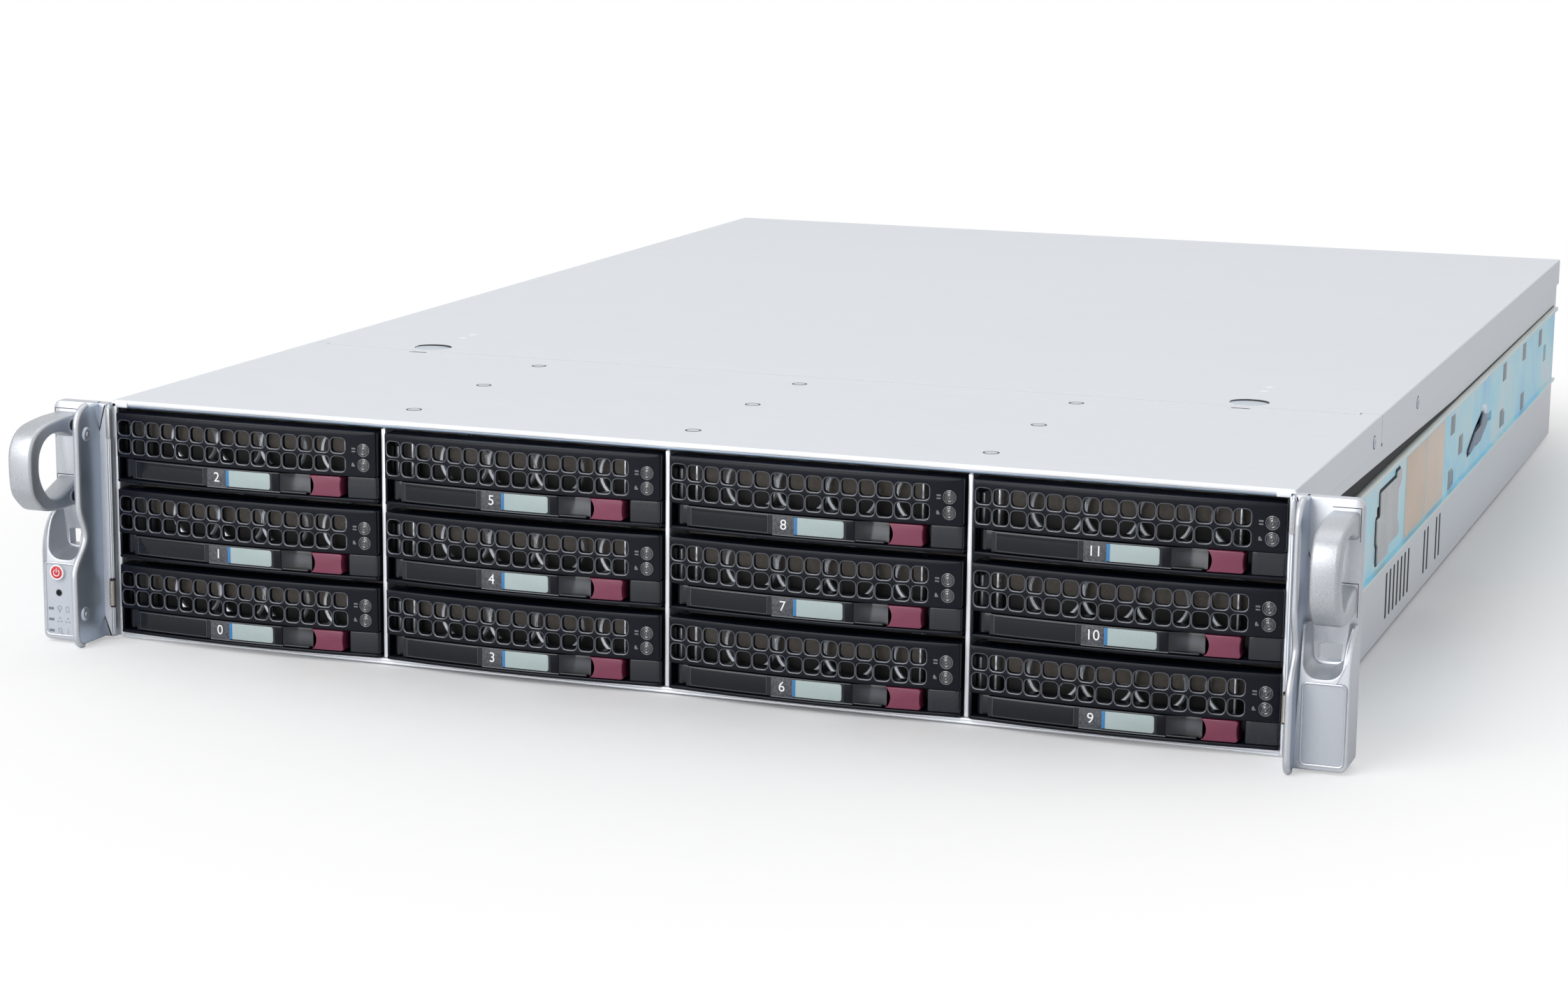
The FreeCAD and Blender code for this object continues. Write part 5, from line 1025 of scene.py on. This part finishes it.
# The thin light strip is painted highlight, and the dark block behind the knuckle painted shade.
STRIPS = [(block(strip_x, strip_x + 1.6, -3.6, 0.4, 0.9, 87.6, 0.4, 0.2), PLATED, True),
          (block(strip_x + 0.5, strip_x + 1.0, -4.2, -3.3, 1.6, 86.8, 0.2, 0.2), FOLD_HIGHLIGHT, True),
          (block(strip_x - 0.3, strip_x + 1.5, -4.5, -3.4, 75.0, 86.4, 0.5, 0.3, "y"), STEEL, True),
          (block(strip_x - 0.3, strip_x + 1.7, -4.3, -3.5, 11.9, 22.8, 0.3, 0.1, "y"), PAINTED_SHADE,
           True)]
ridge = np.linspace(12.7, 22.0, 32)
ridge_radius = 1.0 + 0.12 * (np.arange(32) % 2)
knuckle = turned(np.stack([ridge_radius, ridge], 1), (strip_x + 0.7, -4.3, 0), sides=16)
STRIPS.append((knuckle, KNUCKLE, True))
both_sides("ear_strips", [(points, material, True, ends) for points, material, ends in STRIPS])


# ------------------------------------------------------------------ pull handles
# Cast loops screwed to the ears from behind, thick at the roots and round at the front. Their
# broad front faces are blasted satin.

SATIN = finish("blasted satin", (0.50, 0.515, 0.54), (0.35, 0.37, 0.40), 0.36, metal=0.85,
               grain=2600, cloud=40, share=0.85, spread=0.12, bump=0.3)
LOOP_OUTER = [(-3.2, 84.0), (-10.0, 84.0), (-16.5, 83.9), (-26.5, 82.8), (-32.1, 80.7),
              (-35.6, 77.0), (-37.0, 72.4), (-37.0, 64.5), (-35.7, 58.5), (-31.6, 54.1),
              (-27.3, 51.4), (-18.5, 50.0), (-10.0, 50.0), (-3.2, 50.0)]
LOOP_INNER = [(-3.2, 74.6), (-9.0, 76.4), (-14.6, 78.2), (-21.2, 78.5), (-26.0, 76.8),
              (-29.0, 73.8), (-30.3, 70.4), (-30.3, 65.0), (-28.2, 60.2), (-25.0, 56.6),
              (-21.6, 55.1), (-16.2, 55.4), (-10.0, 57.6), (-3.2, 60.2)]
GRIP_X = (230.6, 240.2)


def smooth_path(points, steps=5):
    """Catmull-Rom curve through the points."""
    p = np.asarray(points, float)
    p = np.concatenate([2 * p[:1] - p[1:2], p, 2 * p[-1:] - p[-2:-1]])
    t = np.linspace(0, 1, steps, endpoint=False)[None, :, None]
    a, b, c, d = (p[i:len(p) - 3 + i][:, None] for i in range(4))
    curve = 0.5 * (2 * b + (c - a) * t + (2 * a - 5 * b + 4 * c - d) * t ** 2
                   + (3 * b - a - 3 * c + d) * t ** 3)
    return np.concatenate([curve.reshape(-1, 2), p[-2:-1]])


def handle_loop():
    """Rounded cross-section between the inner and the outer line, carried round the loop."""
    outer, inner = smooth_path(LOOP_OUTER), smooth_path(LOOP_INNER)
    thick = np.linalg.norm(outer - inner, axis=1)
    width = GRIP_X[1] - GRIP_X[0]
    share = []
    for t in thick:
        section = soften(rectangle(0, t, 0, width), 1.5, 4)
        share.append(np.stack([section[:, 0] / t, section[:, 1]], 1))
    share = np.stack(share)
    across = inner[:, None] + (outer - inner)[:, None] * share[..., :1]
    return np.concatenate([GRIP_X[0] + share[..., 1:], across], -1)


HANDLE = handle_loop()
SOCKET = turned([(1.9, 0.3), (1.95, -0.12), (2.4, -0.3), (2.9, -0.1), (3.0, 0.4)],
                (GRIP_X[0], 0, 0), "x", 24)
# The dark disc inside each socket is painted shade.
SOCKET_SHADE = turned([(0.01, -0.06), (1.95, -0.06), (2.0, 0.5)], (GRIP_X[0], 0, 0), "x", 24)
handle_parts = [(HANDLE, SATIN, True, True)]
for z in (80.0, 53.8):
    handle_parts += [(SOCKET + (0, -8.6, z), RIVET, True, False),
                     (SOCKET_SHADE + (0, -8.6, z), PAINTED_SHADE, True, False)]
piece("handles", "chassis", [(points * (flip, 1, 1), material, ring, ends) for flip in (1, -1)
                             for points, material, ring, ends in handle_parts],
      ["front_handles"], crease=50)


# ------------------------------------------------------------------ power and reset buttons
# A red power button with a white ring and standby sign, a small dark reset button, three grey
# light bars and moulded plain signs beside them.

RED = finish("red button", (0.60, 0.022, 0.035), (0.50, 0.016, 0.028), 0.3)
BUTTON = (-(EAR_OUT - 6.9), 26.2)
RESET = (BUTTON[0], 18.3)
LIGHT_BAR = finish("light bar", (0.16, 0.18, 0.22), (0.10, 0.115, 0.145), 0.3)
SIGN_GREY = finish("sign grey", (0.30, 0.32, 0.36), (0.24, 0.26, 0.30), 0.5)
sweep = np.radians(np.linspace(125, 415, 25))
standby = np.stack([BUTTON[0] + 1.2 * np.cos(sweep), np.full(25, -16.44),
                    BUTTON[1] - 0.1 + 1.2 * np.sin(sweep)], 1)
stem = np.stack([np.full(4, BUTTON[0]), np.full(4, -16.44),
                 BUTTON[1] + np.linspace(0.0, 1.5, 4)], 1)
piece("power_button_face", "power_button",
      [(turned([(0.01, -16.4), (2.2, -16.38), (2.35, -16.3), (2.4, -10.5)],
               (BUTTON[0], 0, BUTTON[1]), "y", 28), RED, True, False),
       (turned([(2.3, -16.2), (2.34, -16.36), (2.6, -16.4), (2.84, -16.3), (2.88, -15.9),
                (2.88, -10.5)], (BUTTON[0], 0, BUTTON[1]), "y", 28), WHITE, True, False),
       (tube(standby, 0.2), WHITE, True, True), (tube(stem, 0.2), WHITE, True, True)],
      ["power_button"])
# The dark disc round the reset button is painted shade in its well.
piece("reset_well_shade", "chassis",
      [(turned([(0.01, POD_Y - 0.08), (1.3, POD_Y - 0.08), (1.35, POD_Y + 0.1)],
               (RESET[0], 0, RESET[1]), "y", 20), PAINTED_SHADE, True, False)])
piece("reset_cap", "reset_button",
      [(turned([(0.01, POD_Y - 0.14), (0.75, POD_Y - 0.13), (0.9, POD_Y + 0.1),
                (0.9, -8.6)], (RESET[0], 0, RESET[1]), "y", 20), BLACK, True, False)],
      ["reset_button"])


def flat_ring(x, z, radius, thick=0.16):
    """Small raised ring on the panel."""
    a = np.linspace(0, 2 * math.pi, 16, endpoint=False)
    path = np.stack([x + radius * np.cos(a), np.full(16, POD_Y - 0.06), z + radius * np.sin(a)], 1)
    return tube(path, thick, closed=True, sides=6)


def flat_bar(x0, x1, z0, z1):
    """Small raised bar on the panel."""
    return block(x0, x1, POD_Y - 0.14, POD_Y + 0.1, z0, z1, 0.08, 0.05, "y")


sign_parts = []
for z in (12.2, 8.1, 3.9):
    sign_parts.append((flat_bar(-239.0, -236.8, z - 0.5, z + 0.5), LIGHT_BAR, True))
near_x, far_x = -234.4, -231.0
sign_parts += [(flat_ring(near_x, 12.6, 0.75), SIGN_GREY, False),
               (flat_bar(near_x - 0.35, near_x + 0.35, 10.9, 11.6), SIGN_GREY, True),
               (flat_bar(far_x - 0.7, far_x - 0.5, 11.2, 13.2), SIGN_GREY, True),
               (flat_bar(far_x + 0.5, far_x + 0.7, 11.2, 13.2), SIGN_GREY, True),
               (flat_bar(far_x - 0.7, far_x + 0.7, 13.0, 13.3), SIGN_GREY, True),
               (flat_bar(far_x - 0.7, far_x + 0.7, 11.1, 11.4), SIGN_GREY, True),
               (flat_ring(near_x, 4.2, 0.75), SIGN_GREY, False),
               (flat_bar(near_x + 0.3, near_x + 1.3, 2.9, 3.2), SIGN_GREY, True),
               (flat_bar(far_x - 0.18, far_x + 0.18, 3.0, 4.5), SIGN_GREY, True),
               (flat_bar(far_x - 0.18, far_x + 0.18, 4.9, 5.25), SIGN_GREY, True)]
for x in (near_x, far_x):
    sign_parts += [(flat_bar(x - 0.35, x + 0.35, 8.5, 9.1), SIGN_GREY, True),
                   (flat_bar(x - 1.05, x - 0.35, 7.2, 7.8), SIGN_GREY, True),
                   (flat_bar(x + 0.35, x + 1.05, 7.2, 7.8), SIGN_GREY, True)]
piece("panel_signs", "chassis", [(part, material, True, ends)
                                 for part, material, ends in sign_parts])


# ------------------------------------------------------------------ inside and rear
# Fans, main board, heatsinks, slot brackets and power supplies.

BOARD_GREEN = finish("board lacquer", (0.03, 0.16, 0.09), (0.015, 0.10, 0.055), 0.35, grain=300,
                     cloud=120)
HEATSINK = finish("heatsink aluminium", (0.66, 0.67, 0.68), (0.52, 0.53, 0.54), 0.3, metal=0.9,
                  stretch=(1, 0.05, 1))
PORT_EDGE, BOARD_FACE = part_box("motherboard")[1][1] - 0.0245, 0.0092


def steel_ports(material):
    """Board lacquer turned to bright steel on the port shells: y and z over their front corner."""
    tree = material.node_tree
    place = tree.nodes.new("ShaderNodeTexCoord")
    axes = tree.nodes.new("ShaderNodeSeparateXYZ")
    tree.links.new(place.outputs["Object"], axes.inputs[0])
    behind = combined(tree, "GREATER_THAN", axes.outputs["Y"], PORT_EDGE)
    above = combined(tree, "GREATER_THAN", axes.outputs["Z"], BOARD_FACE)
    both = combined(tree, "MULTIPLY", behind, above)
    tint_over(material, both, (0.62, 0.63, 0.65, 1))
    tree.links.new(both, tree.nodes["Principled BSDF"].inputs["Metallic"])
    return material


BOARD_PORTS = steel_ports(finish("board and ports", (0.03, 0.16, 0.09), (0.015, 0.10, 0.055), 0.35,
                                 grain=300, cloud=120))
FAN_BLACK = finish("fan moulding", (0.03, 0.03, 0.033), (0.018, 0.018, 0.02), 0.42, grain=2500)
for node, material in (("backplane", BOARD_GREEN), ("motherboard", BOARD_PORTS),
                       ("cpu_heatsinks", HEATSINK), ("fan_frames", FAN_BLACK),
                       ("fan_impeller_1", FAN_BLACK), ("fan_impeller_2", FAN_BLACK),
                       ("fan_impeller_3", FAN_BLACK), ("slot_covers", PLATED),
                       ("psu_lower", PLATED), ("psu_upper", PLATED),
                       ("psu_latch_lower", MAROON), ("psu_latch_upper", MAROON)):
    dress(node, material)


# ------------------------------------------------------------------ studio
# A pale floor, a surround that the camera and bright metal see as white, four soft lamps and
# the camera.

def studio_floor():
    """Pale floor that shows white to the camera and keeps the shadow."""
    size = 6.0
    mesh = bpy.data.meshes.new("floor")
    low = cad_box[0][2] - 0.0005
    mesh.from_pydata([(-size, -size, low), (size, -size, low), (size, size, low),
                      (-size, size, low)], [], [(0, 1, 2, 3)])
    floor = bpy.data.objects.new("floor", mesh)
    bpy.context.scene.collection.objects.link(floor)
    material = finish("pale floor", (0.93, 0.93, 0.93), (0.91, 0.91, 0.91), 0.6, grain=80,
                      cloud=3, bump=0.0)
    tree = material.node_tree
    place = tree.nodes.new("ShaderNodeTexCoord")
    squashed = tree.nodes.new("ShaderNodeVectorMath")
    squashed.operation = "MULTIPLY"
    squashed.inputs[1].default_value = (1.4, 1.0, 1.0)
    away = tree.nodes.new("ShaderNodeVectorMath")
    away.operation = "LENGTH"
    fade = tree.nodes.new("ShaderNodeMapRange")
    fade.interpolation_type = "SMOOTHSTEP"
    fade.inputs["From Min"].default_value = 0.33
    fade.inputs["From Max"].default_value = 0.62
    lit = tree.nodes.new("ShaderNodeLightPath")
    share = combined(tree, "MULTIPLY", fade.outputs[0], lit.outputs["Is Camera Ray"])
    glow = tree.nodes.new("ShaderNodeEmission")
    glow.inputs["Strength"].default_value = 1.0
    both = tree.nodes.new("ShaderNodeMixShader")
    out = tree.nodes["Material Output"]
    tree.links.new(place.outputs["Object"], squashed.inputs[0])
    tree.links.new(squashed.outputs[0], away.inputs[0])
    tree.links.new(away.outputs["Value"], fade.inputs["Value"])
    tree.links.new(share, both.inputs[0])
    tree.links.new(tree.nodes["Principled BSDF"].outputs[0], both.inputs[1])
    tree.links.new(glow.outputs[0], both.inputs[2])
    tree.links.new(both.outputs[0], out.inputs["Surface"])
    mesh.materials.append(material)


studio_floor()
scene = bpy.context.scene
scene.view_settings.view_transform = "Standard"
world = bpy.data.worlds.new("studio")
scene.world = world
world.use_nodes = True
tree = world.node_tree
tree.nodes.clear()
paths = tree.nodes.new("ShaderNodeLightPath")
seen = combined(tree, "MAXIMUM", paths.outputs["Is Camera Ray"],
                paths.outputs["Is Transmission Ray"])
seen = combined(tree, "MAXIMUM", seen, paths.outputs["Is Glossy Ray"])
soft, white = tree.nodes.new("ShaderNodeBackground"), tree.nodes.new("ShaderNodeBackground")
soft.inputs["Color"].default_value = (0.95, 0.97, 1.0, 1)
soft.inputs["Strength"].default_value = 0.37
white.inputs["Color"].default_value = (1, 1, 1, 1)
white.inputs["Strength"].default_value = 1.0
mixed = tree.nodes.new("ShaderNodeMixShader")
world_out = tree.nodes.new("ShaderNodeOutputWorld")
tree.links.new(seen, mixed.inputs[0])
tree.links.new(soft.outputs[0], mixed.inputs[1])
tree.links.new(white.outputs[0], mixed.inputs[2])
tree.links.new(mixed.outputs[0], world_out.inputs["Surface"])


def aimed(position, target, roll=0.0):
    """Placement whose local z axis points from target to position."""
    back = np.array(position, float) - np.array(target, float)
    back /= np.linalg.norm(back)
    right = np.cross((0, 0, 1), back)
    right /= np.linalg.norm(right)
    up = np.cross(back, right)
    across = right * math.cos(roll) + up * math.sin(roll)
    matrix = np.eye(4)
    matrix[:3, 0], matrix[:3, 1], matrix[:3, 2] = across, np.cross(back, across), back
    matrix[:3, 3] = position
    return Matrix(matrix.tolist())


for name, position, size, power in (("key lamp", (-0.7, -1.8, 1.7), 1.4, 30.0),
                                    ("fill lamp", (1.9, -0.9, 1.1), 1.4, 1.5),
                                    ("top lamp", (0.1, 0.5, 2.0), 1.8, 9.5),
                                    ("low lamp", (-0.6, -2.0, 0.50), 1.5, 10.5)):
    data = bpy.data.lights.new(name, "AREA")
    data.shape = "RECTANGLE"
    data.size = size
    data.size_y = min(size, 0.5 + abs(position[2] - 0.4))
    data.energy = power
    lamp = bpy.data.objects.new(name, data)
    lamp.matrix_world = aimed(position, (0, 0, 0.04))
    scene.collection.objects.link(lamp)

VIEW_AZIMUTH, VIEW_ELEVATION, VIEW_ROLL = 0.350, 0.195, 0.010
FRAME_WIDTH, LENS_IN_FRAME, SENSOR = 2244, 4781.8, 36.0
CAMERA_PLACE = np.array([0.42536, FRONT_Y * MM - 1.04737, 0.29435])
toward = np.array([math.sin(VIEW_AZIMUTH) * math.cos(VIEW_ELEVATION),
                   -math.cos(VIEW_AZIMUTH) * math.cos(VIEW_ELEVATION), math.sin(VIEW_ELEVATION)])
camera_data = bpy.data.cameras.new("camera")
camera_data.sensor_width = SENSOR
camera_data.lens = LENS_IN_FRAME / FRAME_WIDTH * SENSOR
camera_data.clip_start = 0.01
camera = bpy.data.objects.new("camera", camera_data)
camera.matrix_world = aimed(CAMERA_PLACE, CAMERA_PLACE - toward, VIEW_ROLL)
scene.collection.objects.link(camera)
scene.camera = camera
